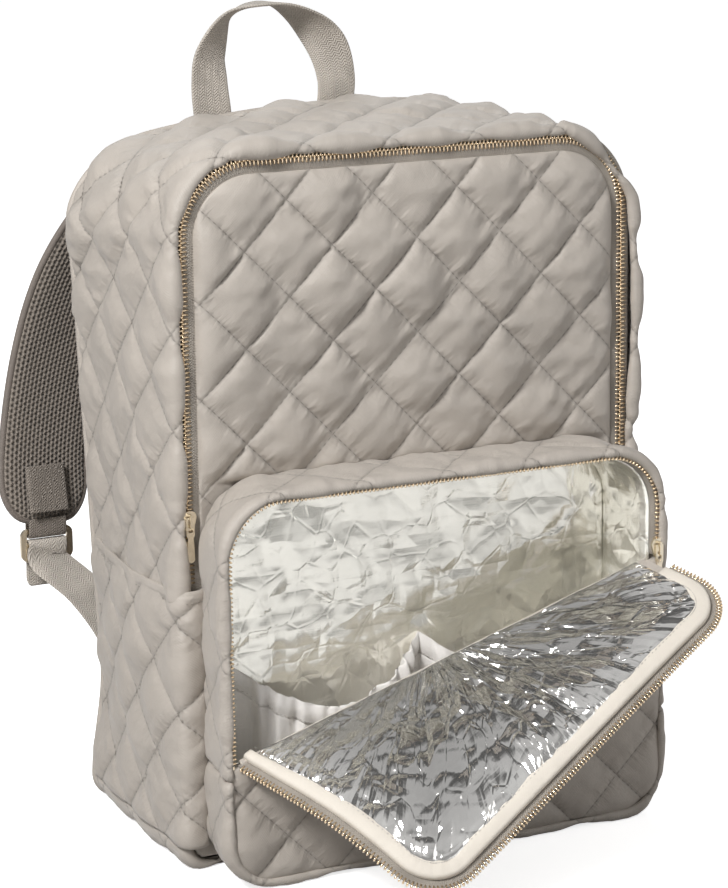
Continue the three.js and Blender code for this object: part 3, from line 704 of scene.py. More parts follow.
def add_floor():
    half, drop = 60000.0, 0.4
    floor = bpy.data.meshes.new("floor")
    corners = [(-half, -half, -drop), (half, -half, -drop), (half, half, -drop), (-half, half, -drop)]
    floor.from_pydata([tuple(c * MM for c in corner) for corner in corners], [], [(0, 1, 2, 3)])
    plain = Finish("floor_paper", 0.9, coordinates="object")
    diffuse = plain.node("ShaderNodeLightPath").outputs["Is Diffuse Ray"]
    seen = plain.node("ShaderNodeLightPath").outputs["Is Camera Ray"]
    paper = plain.ramp(plain.noise(300, 3), (0.3, (0.96, 0.96, 0.96)), (0.7, (0.98, 0.98, 0.98)))
    plain.colour(plain.mix(diffuse, paper, (0.4, 0.39, 0.38)))
    plain.shader.inputs["Emission Color"].default_value = (1, 1, 1, 1)
    plain.feed(plain.shader.inputs["Emission Strength"], plain.math("MULTIPLY", seen, 0.74))
    floor.materials.append(plain.material)
    made = bpy.data.objects.new("floor", floor)
    bpy.context.scene.collection.objects.link(made)


def set_the_stage():
    bpy.context.scene.view_settings.view_transform = "Standard"
    add_camera()
    add_world()
    add_floor()
    add_light("key", (-1.3, -0.85, 1.5), (0.45, 0.45), KEY_POWER, target=(-0.03, -0.05, 0.3))
    add_light("fill", (2.2, -1.6, 1.0), (1.6, 1.4), 9)
    add_light("rim", (0.6, 1.9, 1.7), (1.6, 0.9), 13)


# ---- Outlines ----
def arch(half, crown, radius, foot, step=2.2):
    """An open arch in XZ from its left foot over the crown to its right foot, in steps of about step."""
    angles = np.linspace(0, np.pi / 2, max(8, int(radius * 1.57 / step)))
    up = np.linspace(foot, crown - radius, max(3, int((crown - radius - foot) / step)))[:-1]
    corner = np.stack([half - radius + radius * np.cos(angles), crown - radius + radius * np.sin(angles)], -1)
    flat = np.linspace(half - radius, radius - half, max(3, int(2 * (half - radius) / step)))[1:-1]
    right = np.concatenate([np.stack([0 * up + half, up], -1), corner])
    line = np.concatenate([right * [-1, 1], np.stack([flat, 0 * flat + crown], -1)[::-1], right[::-1]])
    return line


def loop(half, top, bottom, radius, base_radius, step=2.2):
    """A closed outline in XZ with round corners, evenly spaced from its bottom middle round to the left."""
    def turn(cx, cz, r, start):
        angles = np.radians(np.linspace(start, start - 90, 14))
        return np.stack([cx + r * np.cos(angles), cz + r * np.sin(angles)], -1)
    line = np.concatenate([
        [[0, bottom]], turn(base_radius - half, bottom + base_radius, base_radius, 270),
        turn(radius - half, top - radius, radius, 180), turn(half - radius, top - radius, radius, 90),
        turn(half - base_radius, bottom + base_radius, base_radius, 0), [[0, bottom]]])
    length = np.linalg.norm(np.diff(line, axis=0), axis=1).sum()
    return even(line, int(length / step) + 1)[:-1]


def outline_frame(line, closed=False):
    """Outward normals (n, 2) and arc lengths of an outline."""
    if closed:
        along = np.roll(line, -1, 0) - np.roll(line, 1, 0)
    else:
        along = np.gradient(line, axis=0)
    along = unit(along)
    normal = np.stack([-along[:, 1], along[:, 0]], -1)
    run = run_along(line)
    return normal, run


def arch_depth(x, z, half, crown, radius):
    """How far a point lies inside an arch's sides and crown."""
    qx, qz = np.abs(x) - (half - radius), z - (crown - radius)
    return radius - np.hypot(np.maximum(qx, 0), np.maximum(qz, 0)) - np.minimum(np.maximum(qx, qz), 0)


def panel_depth(x, z, half, top, bottom, radius, base_radius):
    """How far a point lies inside a closed panel."""
    middle = (top + bottom) / 2
    upper = arch_depth(x, z, half, top, radius)
    lower = arch_depth(x, -z, half, -bottom, base_radius)
    return np.where(z > middle, upper, lower)


# ---- Quilting ----
class Quilting:
    """Diamond quilting on pattern coordinates (a, b), with a stitched crossing at (a0, b0)."""

    def __init__(self, a0, b0, puff=QUILT_PUFF, seed=0):
        self.a0, self.b0, self.puff, self.seed = a0, b0, puff, seed
        self.spacing = QUILT_PITCH / math.sqrt(2)

    def height(self, a, b):
        """Height of the puffed cloth."""
        p, q = self.phases(a, b)
        place = stack(a, b)
        cell = stack(np.floor(p) + 0.5, np.floor(q) + 0.5)
        fullness = 1 + 0.16 * noise(cell * 7.7, 3.1, self.seed)
        pillow = (self.swell(p) * self.swell(q)) ** 0.5
        gathers = 0
        for line, along in ((p, q), (q, p)):
            away = np.abs(line - np.round(line)) * self.spacing
            run = stack(along * self.spacing, away)
            pull = noise(run * [1, 0.2], 5.6, self.seed + 5)
            gathers = gathers + pull * np.exp(-away / 11) * smooth(away / 2) * 1.5
        sag = noise(place, 27, self.seed + 9) * 1.5 + noise(place * [1, 1.6], 12, self.seed + 3) * 0.8
        loose = (gathers + sag) * (self.puff / QUILT_PUFF) * (1 - self.crease(a, b))
        return self.puff * pillow * fullness + loose

    def phases(self, a, b):
        """Pattern coordinates along the two diagonals, whole numbers on the stitched lines."""
        return (a - self.a0 + b - self.b0) / QUILT_PITCH, (a - self.a0 - b + self.b0) / QUILT_PITCH

    def crease(self, a, b):
        """How close a point is to a stitched crease, from 0 to 1."""
        p, q = self.phases(a, b)
        away = np.minimum(np.abs(p - np.round(p)), np.abs(q - np.round(q))) * self.spacing
        return np.exp(-(away / 1.6) ** 2)

    @staticmethod
    def swell(phase):
        """Rises from a narrow rounded groove at each whole number to 1 between them."""
        return np.hypot(np.sin(np.pi * phase), 0.09) - 0.085

    def surface(self, a, b):
        """The surface attribute of quilted cloth: its material draws the stitched lines, with painted shade
        in their grooves, from it.
        """
        return stack(a - self.a0, b - self.b0, 1)

    def stitches(self, low, high, pitch=4.3):
        """Stitch middles and their directions in pattern coordinates, over the box from low to high."""
        centres, ways = [], []
        reach = (high[0] - low[0] + high[1] - low[1]) / QUILT_PITCH + 2
        start = (low[0] - self.a0 + low[1] - self.b0) / QUILT_PITCH
        for sign in (1, -1):
            first = start if sign > 0 else (low[0] - self.a0 - high[1] + self.b0) / QUILT_PITCH
            for k in range(math.floor(first), math.ceil(first + reach)):
                a = np.arange(low[0], high[0], pitch / math.sqrt(2))
                b = sign * (k * QUILT_PITCH - (a - self.a0)) + self.b0
                keep = (b > low[1]) & (b < high[1])
                centres.append(np.stack([a[keep], b[keep]], -1))
                ways.append(np.tile([1, -sign], (keep.sum(), 1)) / math.sqrt(2))
        return np.concatenate(centres), np.concatenate(ways)


def settle(points):
    """How the standing bag sags: its top crowns towards the back, and its lower back pulls in."""
    x, y, z = np.moveaxis(points, -1, 0)
    back = smooth((y + 78) / 130)
    crown = smooth((z - 290) / 100) * back
    raised = 5.5 - 17 * ((x - 35) / 160) ** 2
    slack = 3 + 12 * np.clip((364 - z) / 283, 0, 1) - 8 * smooth((81 - z) / 70)
    drawn = slack * smooth((y + 50) / 127) * np.clip(x / 120, -1, 1)
    bulge = 6 * np.exp(-((z - 300) / 75) ** 2) * smooth(x / 150) * smooth((60 - y) / 80)
    across, up = np.clip((np.abs(x) - 100) / 50, 0, 1), np.clip((z - 362) / 50, 0, 1)
    corner = smooth(1.8 * across * up) * np.where(x < 0, 6 * back, -7)
    lift = np.where(x < 0, -0.4, 0.3) * corner
    return stack(x - drawn + bulge + corner * np.sign(x), y, np.maximum(z + crown * raised + lift, 0))


def add_stitches(builder, place, quilting, low, high, keep, slot, sink=0.2):
    """Stitches along a surface's quilting.

    place(a, b, height) gives the surface's points, and keep(a, b) says where stitches are wanted.
    """
    centre, way = quilting.stitches(low, high)
    inside = keep(centre[:, 0], centre[:, 1])
    centre, way = centre[inside], way[inside]
    if not len(centre):
        return
    here = place(centre[:, 0], centre[:, 1], 0 * centre[:, 0] + sink)
    ahead = place(centre[:, 0] + way[:, 0], centre[:, 1] + way[:, 1], 0 * centre[:, 0] + sink)
    above = place(centre[:, 0], centre[:, 1], 0 * centre[:, 0] + sink + 1)
    builder.lozenges(here, unit(ahead - here), unit(above - here), 3.2, 0.55, 0.3, slot)


# ---- Front quilt: the door above the fold line and the fixed panel behind the pocket ----
FRONT_INSET = DOOR_INSET - 0.7
FRONT_HALF, FRONT_CROWN, FRONT_RADIUS = (size - FRONT_INSET for size in (BODY_HALF, BODY_TOP, BODY_RADIUS))
FRONT_QUILT = Quilting(-78.8, 381.6, seed=1)


def front_half_width(z):
    """Half width of the front cloth: beside the zip above the side pockets, and out to the gusset below."""
    low = BODY_HALF - 6.4
    wide = low + (FRONT_HALF - low) * smooth((z - 157) / 8)
    rise = np.clip((z - (FRONT_CROWN - FRONT_RADIUS)) / FRONT_RADIUS, 0, 1)
    drop = np.clip((BASE_RADIUS - z) / (BASE_RADIUS - 6), 0, 1)
    return (wide - FRONT_RADIUS * (1 - np.sqrt(1 - rise ** 2)) * (rise > 0)
            - 8 * (1 - np.sqrt(1 - drop ** 2)))


def front_height(x, z):
    """Puff of the front cloth, flat behind the pocket and pulled down at its edges."""
    puffed = FRONT_QUILT.height(x, z)
    edge = dome(arch_depth(x, z, FRONT_HALF, FRONT_CROWN, FRONT_RADIUS) / 13)
    above = dome((z - POCKET_TOP + 1) / 12)
    beside = 0.35 * dome((np.abs(x) - POCKET_BACK_HALF) / 5) * (z < POCKET_TOP)
    rim = 1.2 * edge
    share = np.clip((z - 222) / 178, 0, 1)
    lean = 3.5 * np.sin(np.pi * share) * np.sin(np.pi * share ** 1.7)
    return (puffed + rim) * edge * np.maximum(above, beside * (z < 157)) + lean * edge


def build_front():
    corner = np.sin(np.linspace(0, np.pi / 2, 34)) * FRONT_RADIUS + FRONT_CROWN - FRONT_RADIUS
    z = np.concatenate([np.arange(7, FRONT_CROWN - FRONT_RADIUS, 1.7), corner])[:, None]
    x = np.linspace(-1, 1, 166)[None] * front_half_width(z)
    z = z + 0 * x
    height = front_height(x, z)
    outer = stack(x, DOOR_FACE + 0.4 - height, z)
    inner = stack(x, DOOR_FACE + 5.4 + 0 * x, z)
    cloth = Builder()
    cloth.sheet(outer, inner, surface=FRONT_QUILT.surface(x, z))

    def place(a, b, lift):
        return stack(a, DOOR_FACE + 0.4 - lift, b)

    def keep(a, b):
        return (arch_depth(a, b, FRONT_HALF, FRONT_CROWN, FRONT_RADIUS) > 4) & (b > POCKET_TOP + 3)

    add_stitches(cloth, place, FRONT_QUILT, (-FRONT_HALF, POCKET_TOP), (FRONT_HALF, FRONT_CROWN), keep, 1)
    make_piece("front_quilt", cloth, [QUILTED, THREAD],
               replaces=["front_door_panel", "front_lower_panel"],
               blend=("root", "front_door", (0, DOOR_FACE, HINGE_Z - 7), (0, DOOR_FACE, HINGE_Z + 8)))


# ---- Gusset: quilted over the sides and top, rolling over its front edge to the zip ----
GUSSET_FOOT = BASE_RADIUS + 0.6
GUSSET_TOP_RUN = BODY_HALF - BODY_RADIUS + BODY_RADIUS * np.pi / 2 + BODY_TOP - BODY_RADIUS
GUSSET_QUILT = Quilting(5.6, 284.0, seed=2)
# Inset from the outline and Y of the gusset's section, from its front hem over the roll to the back seam.
GUSSET_SECTION = [(5.0, -76.0), (4.9, -78.0), (3.6, -79.2), (1.3, -78.2), (0.0, -74.0)]


def rolled_section(front, back, step=2.2):
    """A gusset's section as (inset, y) points, and the distance along it, which is y on the flat."""
    roll = curve([(i, y) for i, y in front], 14)
    flat = np.arange(roll[-1, 1] + step, back[0][1], step)
    seam = curve(back, 6)
    line = np.concatenate([roll, np.stack([0 * flat, flat], -1), seam])
    run = run_along(line)
    return line, run - run[len(roll) - 1] + roll[-1, 1]


def sweep_section(line, normal, section):
    """Points (rows along the outline, columns along the section) of a swept (inset, y) section."""
    inset = section[:, 0][None]
    x = line[:, :1] - normal[:, :1] * inset
    z = line[:, 1:] - normal[:, 1:] * inset
    return stack(x, section[:, 1][None] + 0 * x, z)


def gusset_height(a, b, front, back):
    """Puff of the gusset. It lies flat under the side pockets and bunches at the upper left corner."""
    puffed = GUSSET_QUILT.height(a, b)
    edge = dome((a - front) / 17) * dome((back - a) / 8)
    foot = np.minimum(b, 2 * GUSSET_TOP_RUN - b)
    covered = smooth((foot - 148) / 12)
    corner = np.exp(-((b - GUSSET_TOP_RUN + 138) / 62) ** 2)
    bunched = corner * (1.9 * noise(stack(b, a * 0.3), 15, 7) + 0.8 * noise(stack(b, a * 0.5), 7, 8))
    return (puffed * (0.18 + 0.72 * covered) + bunched * covered) * edge


def build_gusset():
    line = arch(BODY_HALF, BODY_TOP, BODY_RADIUS, GUSSET_FOOT)
    normal, run = outline_frame(line)
    section, across = rolled_section(GUSSET_SECTION, [(0, 66.0), (0.6, 69.5), (2.6, 71.2)])
    base = sweep_section(line, normal, section)
    out = wall_normals(base, normal)
    b = (run - run[-1] / 2 + GUSSET_TOP_RUN)[:, None]
    a = across[None] + 0 * b
    b = b + 0 * a
    height = gusset_height(a, b, across[0], across[-1])
    outer = settle(base + out * height[..., None])
    inner = settle(base - out * 3.0)
    cloth = Builder()
    cloth.sheet(outer, inner, surface=GUSSET_QUILT.surface(a, b))

    def place(pa, pb, lift):
        i = np.clip(np.interp(pb, b[:, 0], np.arange(len(b))), 0, len(b) - 1.001)
        j = np.clip(np.interp(pa, a[0], np.arange(a.shape[1])), 0, a.shape[1] - 1.001)
        r, c = i.astype(int), j.astype(int)
        fr, fc = (i - r)[:, None], (j - c)[:, None]
        at = sum(w * g for w, g in (((1 - fr) * (1 - fc), base[r, c]), (fr * (1 - fc), base[r + 1, c]),
                                    ((1 - fr) * fc, base[r, c + 1]), (fr * fc, base[r + 1, c + 1])))
        return settle(at + out[r, c] * lift[:, None])

    def keep(pa, pb):
        foot = np.minimum(pb, 2 * GUSSET_TOP_RUN - pb)
        return (pa > across[0] + 9) & (pa < across[-1] - 3) & (foot > 168)

    add_stitches(cloth, place, GUSSET_QUILT, (across[0], 160), (across[-1], 2 * GUSSET_TOP_RUN - 160),
                 keep, 1)
    make_piece("gusset_quilt", cloth, [QUILTED, THREAD], body="root", replaces=["body_gusset"])


def build_bottom():
    """The base and its round corners, quilted and almost flat where the bag stands on it."""
    line = loop(BODY_HALF, BODY_TOP, 0.0, BODY_RADIUS, BASE_RADIUS)
    line = line[line[:, 1] < GUSSET_FOOT + 1.5]
    line = line[np.argsort(np.arctan2(line[:, 0], 60 - line[:, 1]))]
    normal, run = outline_frame(line)
    normal = normal * np.sign(-normal[len(line) // 2, 1])
    section, across = rolled_section([(4.6, -75.0), (3.2, -77.4), (1.0, -76.6), (0.0, -73.0)],
                                     [(0, 66.0), (0.6, 69.5), (2.6, 71.2)], 2.6)
    base = sweep_section(line, normal, section)
    out = wall_normals(base, normal)
    b = (run - run[-1] / 2)[:, None]
    a = across[None] + 0 * b
    b = b + 0 * a
    height = GUSSET_QUILT.height(a, b)
    raised = smooth((np.abs(b) - 125) / 22)
    height = height * dome((a - across[0]) / 12) * dome((across[-1] - a) / 8)
    height = height * dome((run[-1] / 2 - np.abs(b)) / 9)
    sunk = 2.2 * (1 - raised) * (GUSSET_QUILT.crease(a, b) + 0.25 * (height < 2))
    outer = base + out * (height * raised * 0.3 + raised - sunk)[..., None]
    outer[..., 2] = np.maximum(outer[..., 2], 0.0)
    cloth = Builder()
    cloth.sheet(settle(outer), settle(base - out * 4.5), surface=GUSSET_QUILT.surface(a, b))
    make_piece("bottom_quilt", cloth, [QUILTED], body="root", replaces=["bottom_panel"])


# ---- Back: padded mesh panel with three channels, and its piping ----
def row_grid(half, top, bottom, radius, base_radius, step=2.4, inset=0.0):
    """A grid (rows of z, columns of x) that fills a panel with round corners."""
    top, bottom, half = top - inset, bottom + inset, half - inset
    radius, base_radius = radius - inset, base_radius - inset
    turn = np.sin(np.linspace(0, np.pi / 2, 18))
    z = np.concatenate([bottom + base_radius * (1 - turn[::-1]),
                        np.arange(bottom + base_radius + step, top - radius - step / 2, step),
                        top - radius + radius * turn])[:, None]
    rise = np.clip((z - (top - radius)) / radius, 0, 1)
    drop = np.clip((bottom + base_radius - z) / base_radius, 0, 1)
    wide = half - radius * (1 - np.sqrt(1 - rise ** 2)) - base_radius * (1 - np.sqrt(1 - drop ** 2))
    x = np.linspace(-1, 1, int(2 * half / step))[None] * wide
    return x, z + 0 * x


def build_back():
    x, z = row_grid(BODY_HALF - 1, BODY_TOP - 1, 1, BODY_RADIUS - 1, BASE_RADIUS - 1)
    depth = panel_depth(x, z, BODY_HALF - 1, BODY_TOP - 1, 1, BODY_RADIUS - 1, BASE_RADIUS - 1)
    channel = np.minimum.reduce([np.abs(np.abs(x) - 52), 60 + 0 * x])
    channel = np.where((z > 70) & (z < 345), channel, 60)
    cross = np.minimum(np.abs(z - 70), np.abs(z - 345))
    channel = np.minimum(channel, np.where(np.abs(x) < 118, cross, 60))
    swell = 5.2 * dome(depth / 16) * (0.25 + 0.75 * dome(channel / 13)) + 0.5 * noise(stack(x, z), 30, 4)
    inner_y = GUSSET_BACK + 0.3
    outer = settle(stack(x, inner_y + 2.2 + swell * smooth(depth / 4), z))
    inner = settle(stack(x, inner_y + 0 * x, z))
    cloth = Builder()
    cloth.sheet(outer, inner, surface=stack(x, z, 0))
    for side in (-1, 1):
        for line in (stack(side * 52.0, 0.0, np.arange(73, 343, 4.0)), ):
            spot = line + [0, inner_y + 4.0, 0]
            cloth.lozenges(settle(spot), spot * 0 + [0, 0, 1.0], spot * 0 + [0, 1.0, 0], 3, 0.8, 0.5, 1)
    make_piece("back_padding", cloth, [MESH, THREAD], body="root", replaces=["back_panel"])

    piping = Builder()
    line = loop(BODY_HALF - 0.6, BODY_TOP - 0.6, 0.9, BODY_RADIUS, BASE_RADIUS)
    route = settle(stack(line[:, 0], BACK_FACE - 5.6, line[:, 1]))
    piping.tube(np.concatenate([route, route[:1]]), 2.6, sides=10, closed=True)
    make_piece("back_piping", piping, [PLAIN_TAUPE], body="root")


# ---- Zips. Each lies in a flat space: place(x, z, lift) puts a point of it in the bag ----
ZIP_PITCH = 2.5
# One tooth as (towards the chain's middle, along it), from its root round its head.
TOOTH = np.array([(-1.3, -0.46), (0.8, -0.46), (1.2, -0.66), (2.0, -0.66), (2.5, -0.28),
                  (2.5, 0.28), (2.0, 0.66), (1.2, 0.66), (0.8, 0.46), (-1.3, 0.46)])
TOOTH_LEVELS = [(-0.9, 0.7), (-0.5, 1.0), (0.6, 1.0), (1.1, 0.6)]


def body_front(x, z, lift):
    return stack(x, CHAIN_Y - lift, z)


def pocket_front(x, z, lift):
    return stack(x, POCKET_CHAIN_Y - lift, z)


def add_teeth(builder, place, centres, inwards, lift=0.0, slot=0):
    """A row of teeth at centres (n, 2), with their heads along inwards (n, 2)."""
    along = np.stack([-inwards[:, 1], inwards[:, 0]], -1)
    points = []
    for height, scale in TOOTH_LEVELS:
        shape = TOOTH * [1, scale] + [0, 0]
        flat = (centres[:, None] + inwards[:, None] * shape[None, :, :1]
                + along[:, None] * shape[None, :, 1:])
        points.append(place(flat[..., 0], flat[..., 1], lift + height + 0 * flat[..., 0]))
    points = np.stack(points, 1)
    n, levels, k = points.shape[:3]
    one = [list(q) for q in quads_of(levels, k, closed=True)]
    caps = [list(range(k))[::-1], list(range((levels - 1) * k, levels * k))]
    size = levels * k
    faces = [[i * size + v for v in face] for i in range(n) for face in one + caps]
    builder.add(points, faces, slot)


def chain_line(line, pitch=ZIP_PITCH, start=0.0):
    """Evenly spaced middles of a chain and its outward normals. start shifts them by a share of the pitch."""
    run = run_along(line)
    at = np.arange((0.5 + start) * pitch, run[-1] - pitch * 0.4, pitch)
    normal, _ = outline_frame(line)
    middle = np.stack([np.interp(at, run, line[:, i]) for i in (0, 1)], -1)
    return middle, unit(np.stack([np.interp(at, run, normal[:, i]) for i in (0, 1)], -1))


def add_band(builder, place, line, section, thickness):
    """A tape along an outline. section lists (inset, lift) across it, and thickness is its depth."""
    normal, run = outline_frame(line)
    section = np.asarray(section, float)
    x = line[:, :1] - normal[:, :1] * section[None, :, 0]
    z = line[:, 1:] - normal[:, 1:] * section[None, :, 0]
    lift = section[None, :, 1] + 0 * x
    across = run_along(section)
    surface = stack(across[None] + 0 * x, run[:, None] + 0 * x, 0 * x)
    builder.sheet(place(x, z, lift), place(x, z, lift - thickness), surface=surface)


def add_seam(builder, place, line, inset, lift, slot, pitch=3.6):
    """A row of stitches along an outline."""
    middle, normal = chain_line(line, pitch)
    spot = middle - normal * inset
    along = np.stack([-normal[:, 1], normal[:, 0]], -1)
    here = place(spot[:, 0], spot[:, 1], lift + 0 * spot[:, 0])
    ahead = place(spot[:, 0] + along[:, 0], spot[:, 1] + along[:, 1], lift + 0 * spot[:, 0])
    above = place(spot[:, 0], spot[:, 1], lift + 1 + 0 * spot[:, 0])
    builder.lozenges(here, unit(ahead - here), unit(above - here), 2.5, 0.6, 0.35, slot)


ROW_OFFSET = 2.0


def build_main_zip():
    outline = arch(BODY_HALF, BODY_TOP, BODY_RADIUS, MAIN_ZIP_BOTTOM - 4)
    chain = arch(BODY_HALF - MAIN_CHAIN_INSET, BODY_TOP - MAIN_CHAIN_INSET,
                 BODY_RADIUS - MAIN_CHAIN_INSET, MAIN_ZIP_BOTTOM)
    hinge = ("root", "front_door", (0, DOOR_FACE, HINGE_Z - 7), (0, DOOR_FACE, HINGE_Z + 8))

    outer = Builder()
    middle, normal = chain_line(chain)
    add_teeth(outer, body_front, middle + normal * ROW_OFFSET, -normal)
    make_piece("main_zip_outer_row", outer, [GOLD_TEETH], body="root", replaces=["main_zip_outer_teeth"])
    inner = Builder()
    middle, normal = chain_line(chain, start=0.5)
    add_teeth(inner, body_front, middle - normal * ROW_OFFSET, normal)
    make_piece("main_zip_inner_row", inner, [GOLD_TEETH], replaces=["main_zip_inner_teeth"], blend=hinge)

    tape = Builder()
    add_band(tape, body_front, outline, [(1.6, -0.6), (3.2, -0.3), (5.2, 0.0), (6.0, 0.0)], 0.9)
    make_piece("main_zip_outer_cloth", tape, [TAPE], body="root", replaces=["main_zip_outer_tape"])
    tape = Builder()
    add_band(tape, body_front, outline,
             [(8.3, 0.0), (9.2, 0.25), (11.0, 0.35), (13, 0.3), (16.0, 0.2), (18.5, 0.1)], 0.9)
    add_seam(tape, body_front, outline, 13.4, 0.3, 1)
    make_piece("main_zip_inner_cloth", tape, [TAPE, THREAD], blend=hinge,
               replaces=["main_zip_inner_tape", "main_zip_end_left", "main_zip_end_right"])


def finish_hardware():
    """The sliders, pulls, buckles and stop keep their CAD shapes, with softened edges and plating."""
    for node in ("main_zip_slider", "main_zip_pull", "pocket_zip_slider", "pocket_zip_pull",
                 "pocket_zip_stop", "left_strap_buckle", "right_strap_buckle"):
        piece = frame["nodes"][node]
        wear(piece, GOLD)
        bevel = piece.modifiers.new("soft edges", "BEVEL")
        bevel.width = (0.9 if "buckle" in node else 0.28) * MM
        bevel.segments = 3
        bevel.limit_method = "ANGLE"
        bevel.angle_limit = math.radians(35)
    wear(frame["nodes"]["base_board"], BOARD)


def wear(piece, material):
    """Gives a CAD node that material in every slot."""
    if not piece.material_slots:
        piece.data.materials.append(material)
    for own in piece.material_slots:
        own.material = material


# ---- Side pockets: quilted sheets that wrap the gusset's front roll, with a gathered hem ----
SIDE_TOP = node_box("left_side_pocket_binding")[1][2]
SIDE_FOOT = BASE_RADIUS + 1.0


def build_side_pocket(side, sign):
    z = np.arange(SIDE_FOOT, SIDE_TOP - 2.0, 2.1)
    line = np.stack([0 * z - BODY_HALF, z], -1)
    normal = np.tile([-1.0, 0.0], (len(z), 1))
    front = [(13.6, -78.6), (12.6, -80.4), (8.5, -81.6), (3.6, -81.4), (0.9, -79.6), (0.0, -75.0)]
    section, across = rolled_section(front, [(0, 66.0), (0.4, 68.2), (1.4, 69.6)])
    base = sweep_section(line, normal, section)
    a = across[None] + 0 * z[:, None]
    b = z[:, None] + 0 * a
    middle = np.clip((a + 74) / 140, 0, 1)
    belly = 1.3 + 3.6 * np.sin(np.pi * middle) ** 0.8 * smooth((b - SIDE_FOOT) / 75)
    gathers = 0.9 * noise(stack(a, b * 0.22), 6.5, 12) * np.exp(-(SIDE_TOP - b) / 22)
    puffed = GUSSET_QUILT.height(a, b)
    edge = dome((a - across[0]) / 14) * dome((across[-1] - a) / 8) * dome((b - SIDE_FOOT + 1) / 10)
    top = 0.3 + 0.7 * smooth((SIDE_TOP - b) / 16)
    height = belly + (puffed * 0.8 * top + gathers) * edge
    out = grid_normals(base, np.array([-1.0, 0, 0]))
    outer = settle(base + out * height[..., None])
    inner = settle(base + out * (belly - 1.4)[..., None])

    def mirror(points):
        return points * [-sign, 1, 1]

    cloth = Builder()
    cloth.sheet(mirror(outer), mirror(inner), surface=GUSSET_QUILT.surface(a, b))

    def place(pa, pb, lift):
        j = np.interp(pa, a[0], np.arange(a.shape[1])).astype(int)
        i = np.clip(((pb - SIDE_FOOT) / 2.1).astype(int), 0, len(z) - 1)
        raised = out[i, j] * (belly[i, j] + lift)[:, None]
        return mirror(settle(base[i, j] * [1, 1, 0] + stack(0, 0, pb) + raised))

    def keep(pa, pb):
        return (pa > across[0] + 9) & (pa < across[-1] - 4) & (pb > SIDE_FOOT + 5) & (pb < SIDE_TOP - 7)

    add_stitches(cloth, place, GUSSET_QUILT, (across[0], SIDE_FOOT), (across[-1], SIDE_TOP), keep, 1,
                 sink=0.5)
    make_piece(f"{side}_pocket_quilt", cloth, [QUILTED, THREAD], body="root",
               replaces=[f"{side}_side_pocket"])

    hem = Builder()
    ring = np.linspace(0, 2 * np.pi, 15)[:-1]
    centre = (outer[-1] + inner[-1]) / 2 + [0, 0, -2.0]
    facing = out[-1]
    ripple = (0.35 * noise(stack(across, 0 * across), 4.5, 17))[:, None]
    points = mirror(np.stack([centre + facing * (1.5 + ripple) * np.cos(t) + np.array([0, 0, 4.2]) * np.sin(t)
                              for t in ring], 1))
    surface = stack(across[:, None], ring[None] * 3, 0)
    count = len(across)
    faces = [list(q) for q in quads_of(count, len(ring), closed=True)]
    faces += [list(range(len(ring)))[::-1], [(count - 1) * len(ring) + i for i in range(len(ring))]]
    hem.add(points, faces, 0, surface)
    spots = mirror(centre + facing * 1.5 + [0, 0, -2.6])[2:-1:2]
    hem.lozenges(spots, unit(np.gradient(spots, axis=0)), mirror(facing)[2:-1:2], 2.8, 0.7, 0.4, 1)
    make_piece(f"{side}_pocket_hem", hem, [PLAIN_TAUPE, THREAD], body="root",
               replaces=[f"{side}_side_pocket_binding"])


# ---- Thermal pocket ----
POCKET_QUILT = Quilting(-78.8, 109.6, puff=5.0, seed=3)
POCKET_SIDE_QUILT = Quilting(-100.0, 40.0, puff=3.4, seed=4)


def build_pocket_gusset(name, node, line, seed):
    """The pocket's side wall along an outline of its front rim, from its back seam to the roll at its rim."""
    normal, run = outline_frame(line)
    middle = line.mean(0)
    normal = normal * np.sign(((line - middle) * normal).sum())
    depth = np.arange(POCKET_BACK, POCKET_FRONT, -2.1)
    section = np.concatenate([
        np.stack([0 * depth, depth], -1),
        curve([(0, POCKET_FRONT), (0.9, POCKET_FRONT - 2.4), (2.2, POCKET_FRONT - 2.6),
               (2.7, POCKET_FRONT - 1.2)], 8)])
    across = run_along(section)
    base = sweep_section(line, normal, section)
    flare = np.clip((section[:, 1] - POCKET_BACK) / (POCKET_FRONT - POCKET_BACK), 0, 1)
    narrow = (POCKET_BACK_HALF + (POCKET_FRONT_HALF - POCKET_BACK_HALF) * flare) / POCKET_FRONT_HALF
    base[..., 0] *= narrow[None]
    out = wall_normals(base, normal)
    a, b = across[None] + 0 * run[:, None], run[:, None] + 0 * across[None]
    puffed = POCKET_SIDE_QUILT.height(a - 115, b)
    folds = 0.9 * noise(stack(a * 0.35, b), 13, seed) + 0.5 * noise(stack(a * 0.6, b), 6, seed + 1)
    ends = dome(b / 6) * dome((run[-1] - b) / 6)
    edge = dome((a + 0.4) / 9) * dome((across[-1] - a) / 9) * ends
    height = (puffed * 0.8 + 1.2 + folds) * edge
    outer = base + out * height[..., None]
    outer[..., 2] = np.maximum(outer[..., 2], 0.3)
    cloth = Builder()
    cloth.sheet(outer, base - out * 2.2, surface=POCKET_SIDE_QUILT.surface(a - 115, b))
    make_piece(name, cloth, [QUILTED, THREAD], body="root", replaces=[node])


def build_pocket_walls():
    upper = arch(POCKET_FRONT_HALF, POCKET_TOP, POCKET_RADIUS, SEAM_Z)
    build_pocket_gusset("pocket_side_quilt", "pocket_gusset", upper, 21)
    lower = arch(POCKET_FRONT_HALF, -POCKET_BOTTOM, POCKET_BASE_RADIUS, -SEAM_Z + 0.4) * [1, -1]
    build_pocket_gusset("pocket_base_quilt", "pocket_gusset_lower", lower, 27)


def fold_z(x):
    return FOLD_POINT[2] + FOLD_SLOPE * x


def rim_columns(half, radius, step=2.1):
    """X of a panel's columns, crowded into its round corners."""
    turn = (half - radius) + radius * np.sin(np.linspace(0, np.pi / 2, 18))
    flat = np.linspace(radius - half, half - radius, int(2 * (half - radius) / step))
    return np.concatenate([-turn[:0:-1], flat, turn[1:]])


